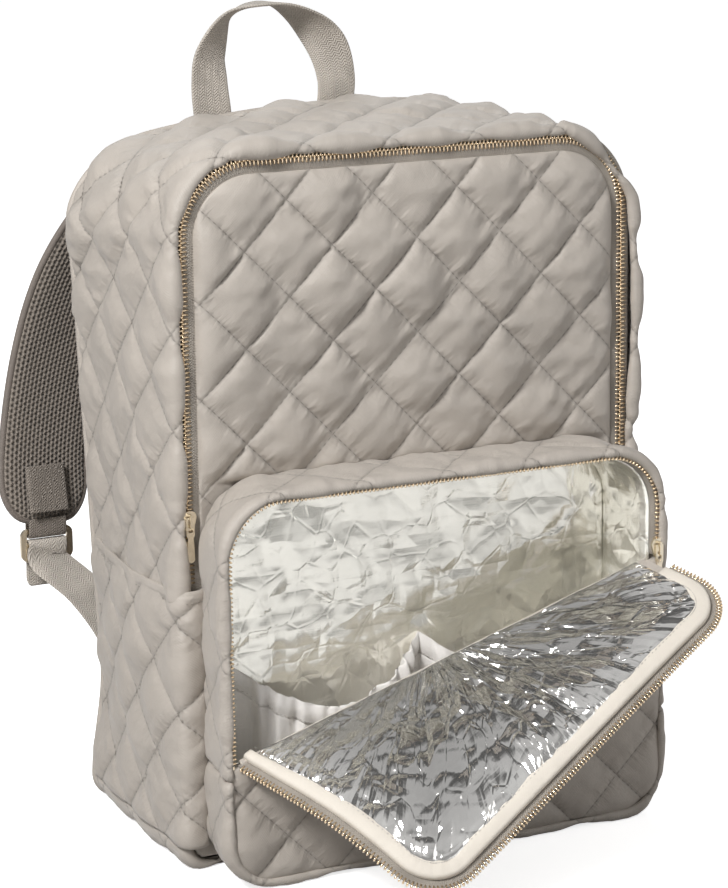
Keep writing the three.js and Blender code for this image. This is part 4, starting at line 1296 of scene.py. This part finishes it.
def corner_drop(x, half, radius):
    """How far a round corner falls below its panel's flat edge at x."""
    past = np.clip(np.abs(x) - (half - radius), 0, radius)
    return radius - np.sqrt(np.maximum(radius ** 2 - past ** 2, 0))


def build_pocket_front():
    """The fixed part of the pocket's front, below the slanting fold."""
    inset = 2.0
    half, radius = POCKET_FRONT_HALF - inset, POCKET_BASE_RADIUS - inset
    x = rim_columns(half, radius)[:, None]
    low = POCKET_BOTTOM + inset + corner_drop(x, half, radius)
    high = fold_z(x) - 0.6
    z = low + (high - low) * np.linspace(0, 1, 62)[None]
    x = x + 0 * z
    puffed = POCKET_QUILT.height(x, z)
    below_fold = (fold_z(x) - z) * math.cos(FOLD_ANGLE)
    depth = panel_depth(x, z, half, POCKET_TOP, POCKET_BOTTOM + inset, POCKET_RADIUS, radius)
    depth = np.minimum(depth, below_fold)
    height = (puffed + 0.8) * dome(np.minimum(depth + 0.5, below_fold + 1.5) / 11)
    outer = stack(x, FOLD_Y + 1.2 - height, z)
    cloth = Builder()
    cloth.sheet(outer, stack(x, FOLD_Y + 3.6 + 0 * x, z), surface=POCKET_QUILT.surface(x, z))

    def place(a, b, lift):
        return stack(a, FOLD_Y + 1.2 - lift, b)

    def keep(a, b):
        inside = panel_depth(a, b, half, POCKET_TOP, POCKET_BOTTOM + inset, POCKET_RADIUS, radius) > 5
        return inside & (b < fold_z(a) - 5)

    add_stitches(cloth, place, POCKET_QUILT, (-half, POCKET_BOTTOM), (half, FOLD_RIGHT), keep, 1)
    make_piece("pocket_front_quilt", cloth, [QUILTED, THREAD], body="root", replaces=["pocket_front_lower"])
    film = Builder()
    crush = crinkle(x, z, 3) * dome(depth / 6)
    shrink = stack(0.965 * x, FOLD_Y + 5.4 + crush, 6 + 0.945 * z)
    film.sheet(stack(0.965 * x, FOLD_Y + 4.2 + 0 * x, 6 + 0.945 * z), shrink, surface=stack(x, z, 0))
    make_piece("pocket_front_foil", film, [LINER_FOIL], body="root", replaces=["pocket_front_lower_lining"])


def crinkle(a, b, seed, sharpness=0.05, square=0.0):
    """Height of crumpled film: narrow straight creases. square=1 turns them all upright or level."""
    place, total = stack(a, b), 0
    for k, size in enumerate((47, 34, 27, 21, 16, 12)):
        angle = (2.4 * k + 0.9 * seed) * (1 - square) + 1.5708 * k * square
        bent = noise(place, size * 2.2, seed + k) * 0.35
        phase = (a * math.cos(angle) + b * math.sin(angle)) / size + bent + 0.37 * k
        ridge = 1 - np.exp(-np.abs(phase - np.round(phase)) * size / 2.2)
        patch = smooth(noise(place, size * 1.6, seed + k + 40) + 0.45)
        total = total + sharpness * (4 + 0.2 * size) * ridge * patch
    return total


def build_liner():
    """The foil lining of the pocket: its back wall and the band round its sides."""
    inset, back_y, rim_y = 4.4, POCKET_BACK - 0.6, -117.4
    film = Builder()
    x, z = row_grid(POCKET_BACK_HALF, POCKET_TOP, POCKET_BOTTOM, POCKET_RADIUS, POCKET_BASE_RADIUS,
                    inset=inset)
    depth = panel_depth(x, z, POCKET_BACK_HALF - inset, POCKET_TOP - inset, POCKET_BOTTOM + inset,
                        POCKET_RADIUS - inset, POCKET_BASE_RADIUS - inset)
    pillow = POCKET_QUILT.height(x, z)
    lift = (crinkle(x, z, 5, 0.055, 0.97) + 0.24 * pillow) * smooth(depth / 6) + 0.8 * dome(depth / 10)
    film.sheet(stack(x, back_y + 0 * x, z), stack(x, back_y - 0.5 - lift, z), surface=stack(x, z, 0))
    line = loop(POCKET_FRONT_HALF - inset - 1.2, POCKET_TOP - inset - 1.2, POCKET_BOTTOM + inset + 1.2,
                POCKET_RADIUS - inset, POCKET_BASE_RADIUS - inset, 2.6)
    normal, run = outline_frame(line, closed=True)
    normal = normal * np.sign((line - line.mean(0))[len(line) // 2] @ normal[len(line) // 2])
    y = np.linspace(back_y, rim_y, 18)[None]
    flare = (y - back_y) / (rim_y - back_y)
    narrow = (POCKET_BACK_HALF + (POCKET_FRONT_HALF - POCKET_BACK_HALF) * flare) / POCKET_FRONT_HALF
    wall = stack(line[:, :1] * narrow, y, line[:, 1:])
    out = stack(normal[:, :1], 0, normal[:, 1:])
    crush = (crinkle(run[:, None], y, 9, 0.055, 0.95) * smooth((run[:, None] % run[-1]) / 8)
             * smooth((run[-1] - run[:, None]) / 8) * smooth(flare * 5) * smooth((1 - flare) * 6))
    inner = wall - out * (0.6 + crush)[..., None]
    surface = stack(run[:, None] + 0 * y, y + 0 * run[:, None], 0)
    outside, inside = (np.swapaxes(grid, 0, 1) for grid in (wall, inner))
    film.sheet(outside, inside, surface=np.swapaxes(surface, 0, 1), closed=True)
    make_piece("pocket_liner", film, [LINER_FOIL], body="root", replaces=["pocket_foil_liner"])


HOLDER_CUT_WIDTH = 320.0


def gather_to(plan, normal, shift, width):
    """The folds' scale at which the cloth's rows are, on average, as long as its flat cut is wide."""
    low, high = 0.0, 8.0
    for _ in range(26):
        scale = (low + high) / 2
        rows = plan[:, None] + normal[:, None] * (shift * scale)[..., None]
        length = np.linalg.norm(np.diff(rows, axis=0), axis=-1).sum(0).mean()
        low, high = (scale, high) if length < width else (low, scale)
    return scale


def build_holder():
    """Two bottle loops gathered on elastic: one cloth whose casing is sewn along its top."""
    steps, rows = 240, 34
    casing, peak, foot, dip = 12.0, 123.0, 22.0, 29.0
    t = np.linspace(0, 1, steps)
    wave = np.abs(np.sin(2 * np.pi * t))
    plan = stack(-126 + 252 * t, POCKET_BACK - 4.0 - 26 * wave ** 0.8)
    run = run_along(plan)
    normal = unit(np.stack([np.gradient(plan[:, 1]), -np.gradient(plan[:, 0])], -1))
    top = peak - dip * wave
    level = np.linspace(0, 1, rows)[None]
    low, high = foot, (top - casing)[:, None]
    z = low + (high - low) * level
    near = np.exp(-(high - z) / 26)
    folds = (noise(stack(run[:, None], z * 0.1), 5.0, 31) * (0.7 + 1.6 * near)
             + noise(stack(run[:, None] + 0.35 * z, z * 0.25), 16, 33) * 3.6 * (1 - 0.6 * near))
    folds = folds * smooth(wave[:, None] * 3)
    folds = folds * gather_to(plan, normal, folds, HOLDER_CUT_WIDTH)
    sag = 3.2 * np.sin(np.pi * level) * wave[:, None] + folds
    outer = stack(plan[:, :1] + normal[:, :1] * sag, plan[:, 1:] + normal[:, 1:] * sag, z)
    inward = stack(normal[:, :1], normal[:, 1:], 0)
    cloth = Builder()
    surface = stack(run[:, None] + 0 * z, z, 0)
    cloth.sheet(outer, outer - inward * 0.7, surface=surface)
    piece = make_piece("holder_cloth", cloth, [HOLDER], body="root", replaces=["bottle_holder"])
    band = Builder()
    across = np.linspace(-0.5, casing, 12)[None]
    level = across / casing
    gather = noise(stack(run[:, None], across * 0.2), 3.4, 35) * 1.05
    swell = 1.3 * np.sin(np.pi * np.clip(level, 0, 1)) + 0.35 + gather * smooth(wave[:, None] * 3)
    base = stack(plan[:, :1] + 0 * across, plan[:, 1:] + 0 * across, high + across)
    offset = inward * (sag[:, -1:] * (1 - 0.4 * level))[..., None]
    face = base + offset + inward * swell[..., None]
    band.sheet(face, base + offset - inward * swell[..., None],
               surface=stack(run[:, None] + 0 * across, across + 0 * run[:, None], 0))
    seam = (face[:, 1] + inward[:, 0] * 0.2)[4:-4:2]
    band.lozenges(seam, unit(np.gradient(seam, axis=0)), np.repeat(inward[4:-4:2, 0], 1, 0), 2.2, 0.5, 0.3, 1)
    hem = make_piece("holder_casing", band, [HOLDER, STITCH_PALE], body="root",
                     replaces=["bottle_holder_elastic"])


STITCH_PALE = ribbed("pale_thread", linear(188, 183, 178), pitch=0.8, chevron=0.6, depth=0.1)


def build_pocket_zip():
    outline = arch(POCKET_FRONT_HALF, POCKET_TOP, POCKET_RADIUS, FOLD_LEFT + 1)
    chain = arch(POCKET_FRONT_HALF - POCKET_CHAIN_INSET, POCKET_TOP - POCKET_CHAIN_INSET,
                 POCKET_RADIUS - POCKET_CHAIN_INSET, FOLD_LEFT + 1)
    keep_line = (outline[:, 0] < 0) | (outline[:, 1] > FOLD_RIGHT)
    teeth = Builder()
    middle, normal = chain_line(chain)
    keep = (middle[:, 0] < 0) | (middle[:, 1] > FOLD_RIGHT)
    add_teeth(teeth, pocket_front, (middle + normal * ROW_OFFSET)[keep], -normal[keep])
    make_piece("pocket_zip_row", teeth, [GOLD_TEETH], body="root", replaces=["pocket_zip_teeth"])
    tape = Builder()
    add_band(tape, pocket_front, outline[keep_line], [(1.2, -1.0), (2.4, -0.3), (3.4, 0.0), (4.2, 0.0)], 0.9)
    add_band(tape, pocket_front, outline[keep_line], [(2.6, -1.2), (5.0, -2.6), (6.2, -5.0)], 0.8)
    make_piece("pocket_zip_cloth", tape, [TAPE], body="root", replaces=["pocket_zip_tape"])


# ---- Flap: drawn closed in its flat space, then folded open with a smooth bend at its curl line ----
BEND_START, BEND_END = 34.0, 106.0
OUTWARD = np.array([0.0, -1.0, 0.0])


def bend_table():
    """The flap's middle line as distances up and out, and its angle, by distance from the fold."""
    reach = np.linspace(-4, 260, 1057)
    share = (reach - BEND_START) / (BEND_END - BEND_START)
    angle = FOLD_OPEN + CURL_OPEN * smooth(share)
    step = reach[1] - reach[0]
    up, out = np.cumsum(np.cos(angle)) * step, np.cumsum(np.sin(angle)) * step
    start = np.interp(0, reach, up), np.interp(0, reach, out)
    return reach, up - start[0], out - start[1], angle


BEND = bend_table()


def open_flap(x, z, lift):
    """Where a point of the closed flap is with the flap open. lift is towards the outside of the bag."""
    x, z, lift = np.broadcast_arrays(np.asarray(x, float), z, lift)
    flat = stack(x, 0 * x, z) - FOLD_POINT * [1, 0, 1]
    run, rise = flat @ FOLD_ALONG, flat @ FLAP_UP
    up, out, angle = (np.interp(rise, BEND[0], line) for line in BEND[1:])
    cover_side = (-np.sin(angle))[..., None] * FLAP_UP + np.cos(angle)[..., None] * OUTWARD
    return (FOLD_POINT + run[..., None] * FOLD_ALONG + up[..., None] * FLAP_UP + out[..., None] * OUTWARD
            + lift[..., None] * cover_side)


def flap_blend():
    middle = open_flap(0.0, FOLD_POINT[2], 0.0)
    ends = []
    for rise in (BEND_START, BEND_END):
        up, out = np.interp(rise, BEND[0], BEND[1]), np.interp(rise, BEND[0], BEND[2])
        ends.append(middle + up * FLAP_UP + out * OUTWARD)
    return ("flap_base", "flap_tip", ends[0], ends[1])


def flap_depth(x, z, inset=0.0):
    """How far a point lies inside the flap's round edge, and its place along that edge."""
    depth = arch_depth(x, z, POCKET_FRONT_HALF - inset, POCKET_TOP - inset, POCKET_RADIUS - inset)
    around = np.arctan2(z - 95, x) * 150
    return depth, around


def flap_grid(inset, gap, rows=84):
    half, radius = POCKET_FRONT_HALF - inset, POCKET_RADIUS - inset
    x = rim_columns(half, radius, 1.9)[:, None]
    low = fold_z(x) + gap / math.cos(FOLD_ANGLE)
    high = POCKET_TOP - inset - corner_drop(x, half, radius)
    z = low + (high - low) * np.linspace(0, 1, rows)[None]
    return x + 0 * z, z


def above_fold(x, z):
    return (z - fold_z(x)) * math.cos(FOLD_ANGLE)


FLAP_COVER_INSET, BINDING_INSET = 12.6, 21.0


def build_flap():
    blend = flap_blend()
    x, z = flap_grid(FLAP_COVER_INSET, 1.2)
    depth, around = flap_depth(x, z, FLAP_COVER_INSET)
    rise = above_fold(x, z)
    puffed = POCKET_QUILT.height(x, z)
    edge = dome(np.minimum(depth + 0.8, rise) / 12)
    cover = Builder()
    cover.sheet(open_flap(x, z, (puffed * 0.85 + 0.8) * edge), open_flap(x, z, -3.0 + 0 * x),
                surface=POCKET_QUILT.surface(x, z))

    def keep(a, b):
        return (flap_depth(a, b, FLAP_COVER_INSET)[0] > 5) & (above_fold(a, b) > 5)

    add_stitches(cover, open_flap, POCKET_QUILT, (-POCKET_FRONT_HALF, FOLD_LEFT),
                 (POCKET_FRONT_HALF, POCKET_TOP), keep, 1)
    make_piece("flap_quilt", cover, [QUILTED, THREAD], blend=blend,
               replaces=["flap_base_cover", "flap_tip_cover"])

    # The foil lies over the cover's inside. It shows the quilting and puckers at the binding.
    x, z = flap_grid(BINDING_INSET - 2.5, 1.4, 104)
    depth, around = flap_depth(x, z, BINDING_INSET - 2.5)
    rise = above_fold(x, z)
    puffed = POCKET_QUILT.height(x, z)
    gathers = (noise(stack(around, depth * 0.16), 6.0, 51) + 0.7 * noise(stack(around, depth * 0.25), 11, 52))
    inside = dome(np.minimum(depth, rise + 1) / 9)
    pillow = puffed / POCKET_QUILT.puff
    lift = 3.3 + inside * (0.6 + 1.5 * pillow + crinkle(x, z, 7, 0.06) + 1.0 * gathers * np.exp(-depth / 26))
    film = Builder()
    # The third surface value marks the gathers at the binding. It drives the pleats, and keeps the foil's
    # painted dark reflection off that edge.
    film.sheet(open_flap(x, z, -3.2 + 0 * x), open_flap(x, z, -lift),
               surface=stack(around, depth, np.exp(-depth / 20)))
    make_piece("flap_foil", film, [FOIL], blend=blend,
               replaces=["flap_base_lining", "flap_tip_lining"])
    build_flap_edge(blend)


def flap_edge_line(inset, step=2.0, left_gap=1.5, right_gap=9.5):
    """The flap's outline at an inset, from its left end at the fold round to the right end by the slider."""
    line = arch(POCKET_FRONT_HALF - inset, POCKET_TOP - inset, POCKET_RADIUS - inset, FOLD_LEFT - 20, step)
    rise = above_fold(line[:, 0], line[:, 1])
    return line[rise > np.where(line[:, 0] < 0, left_gap, right_gap)]


def build_flap_edge(blend):
    teeth = Builder()
    middle, normal = chain_line(flap_edge_line(POCKET_CHAIN_INSET))
    add_teeth(teeth, open_flap, middle - normal * ROW_OFFSET, normal, lift=-0.4)
    make_piece("flap_zip_row", teeth, [GOLD_TEETH], blend=blend,
               replaces=["flap_base_teeth_left", "flap_base_teeth_right", "flap_tip_teeth"])
    outline = flap_edge_line(0.0)
    tape = Builder()
    add_band(tape, open_flap, outline, [(6.5, 0.1), (8.5, 0.15), (11, 0.1), (13.5, -0.1), (15.5, -0.6)], 1.0)
    make_piece("flap_zip_cloth", tape, [TAPE], blend=blend,
               replaces=["flap_base_tape_left", "flap_base_tape_right", "flap_tip_tape"])
    binding = Builder()
    normal, run = outline_frame(outline)
    section = np.array([(11.6, -1.2), (11.4, -3.0), (12.0, -4.5), (13.4, -5.0), (17.0, -5.1), (20.5, -4.9),
                        (21.6, -4.2), (21.9, -3.4)])
    taper = 0.62 + 0.38 * smooth(run / 60)[:, None]
    inset, lift = 11.4 + (section[:, 0][None] - 11.4) * taper, section[:, 1][None]
    ripple = 0.25 * noise(stack(run[:, None], inset * 0.6), 7, 61)
    x = outline[:, :1] - normal[:, :1] * inset
    z = outline[:, 1:] - normal[:, 1:] * inset
    surface = stack(inset, run[:, None] + 0 * x, 0)
    binding.sheet(open_flap(x, z, lift - ripple), open_flap(x, z, np.minimum(lift + 1.3, -1.0) + 0 * x),
                  surface=surface)
    add_inner_seam(binding, outline, 19.8, -5.0)
    make_piece("flap_edge_binding", binding, [CREAM, STITCH_PALE], blend=blend,
               replaces=["flap_base_binding_left", "flap_base_binding_right", "flap_tip_binding"])


def add_inner_seam(builder, line, inset, lift, pitch=3.4):
    """Stitches on the flap's inner side."""
    middle, normal = chain_line(line, pitch)
    spot = middle - normal * inset
    along = np.stack([-normal[:, 1], normal[:, 0]], -1)
    here = open_flap(spot[:, 0], spot[:, 1], lift)
    ahead = open_flap(spot[:, 0] + along[:, 0], spot[:, 1] + along[:, 1], lift)
    above = open_flap(spot[:, 0], spot[:, 1], lift - 1)
    builder.lozenges(here, unit(ahead - here), unit(above - here), 2.4, 0.55, 0.35, 1)


def build_fold_welt():
    """The cloth at the fold, taupe outside and with a pale bound edge inside, for every angle of the flap."""
    ends = [FOLD_POINT + FOLD_ALONG * reach for reach in (-141.0, 138.0)]
    route = np.linspace(ends[0], ends[1], 120)
    route = route + stack(0, 0.8, 0.4 * noise(route, 24, 71))
    welt = Builder()
    welt.section(route, round_section(14), stack(2.5 + 0 * route[:, 0], 2.5 + 0 * route[:, 0]),
                 up=OUTWARD + 0 * route)
    for index, face in enumerate(welt.faces):
        middle = np.mean([welt.points[0][i] for i in face], 0)
        away = middle - FOLD_POINT
        welt.slots[index] = int(away[1] - 0.8 > -0.2)
    make_piece("fold_welt", welt, [PLAIN_TAUPE, CREAM], body="root")


# ---- Shoulder straps, drawn on the left and mirrored ----
STRAP_OUTWARD = unit(np.array([-0.12, 1.0, 0.1]))
PAD_ROUTE = [(-46, 84.5, 384), (-58, 93, 378), (-74, 104, 370), (-99, 117, 350), (-122, 128, 308),
             (-137, 131, 262), (-148, 127, 208), (-151, 119.25, 166.5)]
BUCKLE_LOW, BUCKLE_HIGH = node_box("left_strap_buckle")
BUCKLE = (BUCKLE_LOW + BUCKLE_HIGH) / 2


def swept(builder, route, up, shape, size, flip):
    """A section swept along a route, mirrored in X if flip is -1."""
    part = Builder()
    part.section(np.asarray(route, float), shape, size, up=up)
    builder.add(part.points[0] * [flip, 1, 1], part.faces, 0, part.surface[0])


def strap_width(t):
    return 42 + 16 * smooth(2.2 * t)


def build_pad(side, flip):
    count = 190
    route = curve(PAD_ROUTE, count)
    t = np.linspace(0, 1, count)
    half = strap_width(t) / 2 * (1 - 0.62 * (1 - dome((1 - t) / 0.1)))
    along = unit(np.gradient(route, axis=0))
    face = unit(STRAP_OUTWARD - along * (along @ STRAP_OUTWARD)[:, None])
    across = np.cross(face, along)
    u = np.linspace(-1, 1, 37)
    swell = dome((1 - np.abs(u)) / 0.34)[None] * (0.35 + 0.65 * dome((1 - t) / 0.05))[:, None]
    x, y = u[None] * half[:, None], t[:, None] * 250 + 0 * u[None]
    rough = 0.35 * noise(stack(x, y), 14, 81)
    centre = route[:, None] + across[:, None] * x[..., None]
    outer = centre + face[:, None] * (1.0 + 3.4 * swell + rough)[..., None]
    inner = centre - face[:, None] * (0.8 + 3.3 * swell + 0.4 * rough)[..., None]
    pad = Builder()
    surface = stack(x, y, 0)
    pad.sheet(outer * [flip, 1, 1], inner * [flip, 1, 1], 0, 1, surface=surface)
    for edge in (-1, 1):
        line = route + across * (edge * (half - 5.5))[:, None] + face * 4.2
        spots = even(line, 90)[2:-4] * [flip, 1, 1]
        pad.lozenges(spots, unit(np.gradient(spots, axis=0)), 0 * spots + STRAP_OUTWARD * [flip, 1, 1],
                     2.8, 0.7, 0.5, 2)
    piece = make_piece(f"{side}_strap_padding", pad, [PLAIN_TAUPE, MESH, THREAD], body=f"{side}_strap",
                       replaces=[f"{side}_strap_pad"])
    rim = Builder()
    first = route + across * half[:, None]
    last = (route - across * half[:, None])[::-1]
    foot = curve([first[-1], (first[-1] + last[0]) / 2 + along[-1] * 1.5, last[0]], 12)[1:-1]
    edge = even(np.concatenate([first, foot, last]), 260)
    swept(rim, edge, None, round_section(10), stack(2.3 + 0 * edge[:, 0], 2.3 + 0 * edge[:, 0]), flip)
    make_piece(f"{side}_strap_edge", rim, [STRAP_EDGE], body=f"{side}_strap")


def build_patch(side, flip):
    """The webbing's end, sewn to the pad's mesh face with a box and a cross."""
    low, high = node_box("left_strap_patch")
    top = np.array([BUCKLE[0], 119.3, high[2] + 1])
    foot = np.array([BUCKLE[0], 113.2, low[2] - 1])
    route = np.linspace(top, foot, 30)
    along = unit(foot - top)
    face = unit(-STRAP_OUTWARD + along * (along @ STRAP_OUTWARD))
    half = 13.4
    route = route + face * 1.2
    patch = Builder()
    swept(patch, route, np.tile(face, (30, 1)), flat_section(0.12), np.tile([half, 1.1], (30, 1)), flip)
    across = unit(np.cross(face, along))
    length = np.linalg.norm(foot - top) - 2.5
    corners = [(-half + 2.4, 2.5), (half - 2.4, 2.5), (half - 2.4, length), (-half + 2.4, length)]
    for a, b in ((0, 1), (1, 2), (2, 3), (3, 0), (0, 2), (1, 3)):
        ends = [top + face * 2.5 + across * corners[i][0] + along * corners[i][1] for i in (a, b)]
        stitch_count = int(np.linalg.norm(ends[1] - ends[0]) / 2.8)
        spots = np.linspace(ends[0], ends[1], stitch_count)[:-1] * [flip, 1, 1]
        way = unit((ends[1] - ends[0]) * [flip, 1, 1]) + 0 * spots
        patch.lozenges(spots, way, 0 * spots + face * [flip, 1, 1], 2.3, 0.8, 0.5, 1)
    make_piece(f"{side}_strap_stitched_end", patch, [PATCH, THREAD], body=f"{side}_strap",
               replaces=[f"{side}_strap_patch"])


def build_strap_webbing(side, flip):
    x, y, z = BUCKLE
    loop_route = curve([(x, y + 2.4, z + 17), (x, y + 3, z + 8.5), (x, y + 1.6, z + 5.4),
                        (x, y - 1.6, z + 5.4), (x, y - 3, z + 8.5), (x, y - 3.2, z + 17)], 60)
    keeper = Builder()
    loop_up = wrap_normals(loop_route)
    swept(keeper, loop_route, loop_up, flat_section(0.12), np.tile([12.4, 0.75], (60, 1)), flip)
    make_piece(f"{side}_strap_keeper", keeper, [PATCH], body=f"{side}_strap",
               replaces=[f"{side}_strap_loop"])
    lower = curve([(-112, 82.2, 30), (-112, 83.5, 58), (-117, 90, 92), (-132, 103, 121), (x, y - 3.4, z - 10),
                   (x, y - 3.2, z - 1), (x, y - 1.8, z + 2.6), (x, y + 1.8, z + 2.6), (x, y + 3.2, z - 1),
                   (x, y + 3.6, z - 10), (x, y + 4.6, z - 27)], 170)
    facing = wrap_normals(lower)
    width = 12.5 * (1 - 0.45 * (1 - dome((np.arange(170)[::-1] + 1) / 7)))
    webbing = Builder()
    swept(webbing, lower, facing, flat_section(0.12), stack(width, 0.75), flip)
    make_piece(f"{side}_strap_lower_webbing", webbing, [WEBBING], body=f"{side}_strap",
               replaces=[f"{side}_strap_webbing"])


def wrap_normals(route):
    """Normals in the YZ plane, which keep a webbing's width along X."""
    along = np.gradient(route, axis=0)
    return unit(stack(0, -along[:, 2], along[:, 1]))


def build_strap_roots():
    """The band across the top of the back that both pads and the handle are sewn into."""
    low, high = node_box("strap_yoke")
    x = np.linspace(low[0], high[0], 70)[:, None]
    z = np.linspace(low[2], high[2], 14)[None]
    x, z = x + 0 * z, z + 0 * x
    depth = np.minimum(np.minimum(x - low[0], high[0] - x), np.minimum(z - low[2], high[2] - z))
    face = stack(x, high[1] + 2.4 * dome(depth / 4) - 1.4, z)
    face[..., 1] += 0.3 * noise(stack(x + 0 * z, z + 0 * x), 12, 91)
    band = Builder()
    band.sheet(settle(face), settle(stack(x, low[1] - 1.2, z)), surface=stack(z + 0 * x, x + 0 * z, 0))
    for level in (low[2] + 3, high[2] - 3):
        spots = settle(stack(np.arange(low[0] + 4, high[0] - 3, 3.6), high[1] + 1.0, level))
        band.lozenges(spots, spots * 0 + [1.0, 0, 0], spots * 0 + [0, 1.0, 0], 2.6, 0.7, 0.45, 1)
    make_piece("strap_yoke_band", band, [WEBBING, THREAD], body="root", replaces=["strap_yoke"])


# ---- Grab handle ----
HANDLE_SEAM_Y = 76.0


def build_handle():
    low, high = node_box("top_handle")
    foot, crown = low[2], high[2]
    y = HANDLE_SEAM_Y
    route = curve([(-50, y, foot - 9), (-51, y, foot + 4), (-52.5, y, foot + 22), (-51, y, foot + 40),
                   (-37, y, crown - 7), (-11, y, crown - 1.2), (9.5, y, crown - 10), (26.5, y, foot + 42),
                   (33, y, foot + 22), (32, y, foot + 4), (30.5, y, foot - 9)], 200)
    run = run_along(route)
    turn = np.pi * smooth((run / run[-1] - 0.06) / 0.88)
    across = stack(np.cos(turn), np.sin(turn), 0)
    along = unit(np.gradient(route, axis=0))
    across = unit(across - along * (across * along).sum(-1)[:, None])
    up = np.cross(along, across)
    handle = Builder()
    handle.section(route, flat_section(0.1, 3, 10), np.tile([12.5, 1.0], (200, 1)), up=up)
    make_piece("grab_handle", handle, [WEBBING], body="handle", replaces=["top_handle"])


# ---- Linings, which show through the open front ----
def lined_box(name, node, wall, material, body="root"):
    """A CAD lining's box shape redrawn as soft cloth: the CAD mesh subdivided and rumpled."""
    source = frame["nodes"][node]
    piece = source.copy()
    piece.data = source.data.copy()
    piece.name = name
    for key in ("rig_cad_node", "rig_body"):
        if key in piece:
            del piece[key]
    piece.parent = None
    bpy.context.scene.collection.objects.link(piece)
    soften(piece, wall)
    piece.data.materials.clear()
    piece.data.materials.append(material)
    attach(piece, body)
    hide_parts(node)
    return piece


LINING_EASE = np.array([0.975, 0.985, 0.98])


def soften(piece, amount):
    """Cuts a lining's big faces into small ones and rumples them, keeping its two skins together."""
    shape = bmesh.new()
    shape.from_mesh(piece.data)
    bmesh.ops.remove_doubles(shape, verts=shape.verts, dist=1e-6)
    for _ in range(5):
        long_edges = [e for e in shape.edges if e.calc_length() > 11 * MM]
        if not long_edges:
            break
        bmesh.ops.subdivide_edges(shape, edges=long_edges, cuts=1)
        bmesh.ops.triangulate(shape, faces=[f for f in shape.faces if len(f.verts) > 4])
    points = np.array([v.co for v in shape.verts]) / MM
    shift = np.stack([noise(points, 42, seed) for seed in (101, 102, 103)], -1) * amount
    shift += np.stack([noise(points * [1, 1, 0.3], 15, seed) for seed in (104, 105, 106)], -1) * amount * 0.35
    middle = np.array([0, 0, points[:, 2].mean()])
    moved = settle(middle + (points - middle) * LINING_EASE) + shift
    for vertex, place in zip(shape.verts, moved * MM):
        vertex.co = place
    shape.to_mesh(piece.data)
    shape.free()
    points = np.array([v.co for v in piece.data.vertices]) / MM
    surface = piece.data.attributes.new("surface", "FLOAT_VECTOR", "POINT")
    across = stack(points[:, 0] + points[:, 1], points[:, 2], 0)
    surface.data.foreach_set("vector", across.astype(np.float32).ravel())
    piece.data.update()


def build_linings():
    lined_box("body_lining", "main_lining", 0.9, LINING)
    lined_box("slip_pocket", "inner_slip_pocket", 0.5, LINING)
    lined_box("door_lining", "front_door_lining", 0.25, LINING, body="front_door")
    lined_box("back_foam_sheet", "back_foam", 0.2, FOAM_SHEET)


def build_straps():
    for side, flip in (("left", 1), ("right", -1)):
        build_pad(side, flip)
        build_patch(side, flip)
        build_strap_webbing(side, flip)
    build_strap_roots()


set_the_stage()
build_front()
build_gusset()
build_bottom()
build_back()
build_main_zip()
build_side_pocket("left", -1)
build_side_pocket("right", 1)
build_pocket_walls()
build_pocket_front()
build_liner()
build_holder()
build_pocket_zip()
build_flap()
build_fold_welt()
build_straps()
build_handle()
build_linings()
finish_hardware()
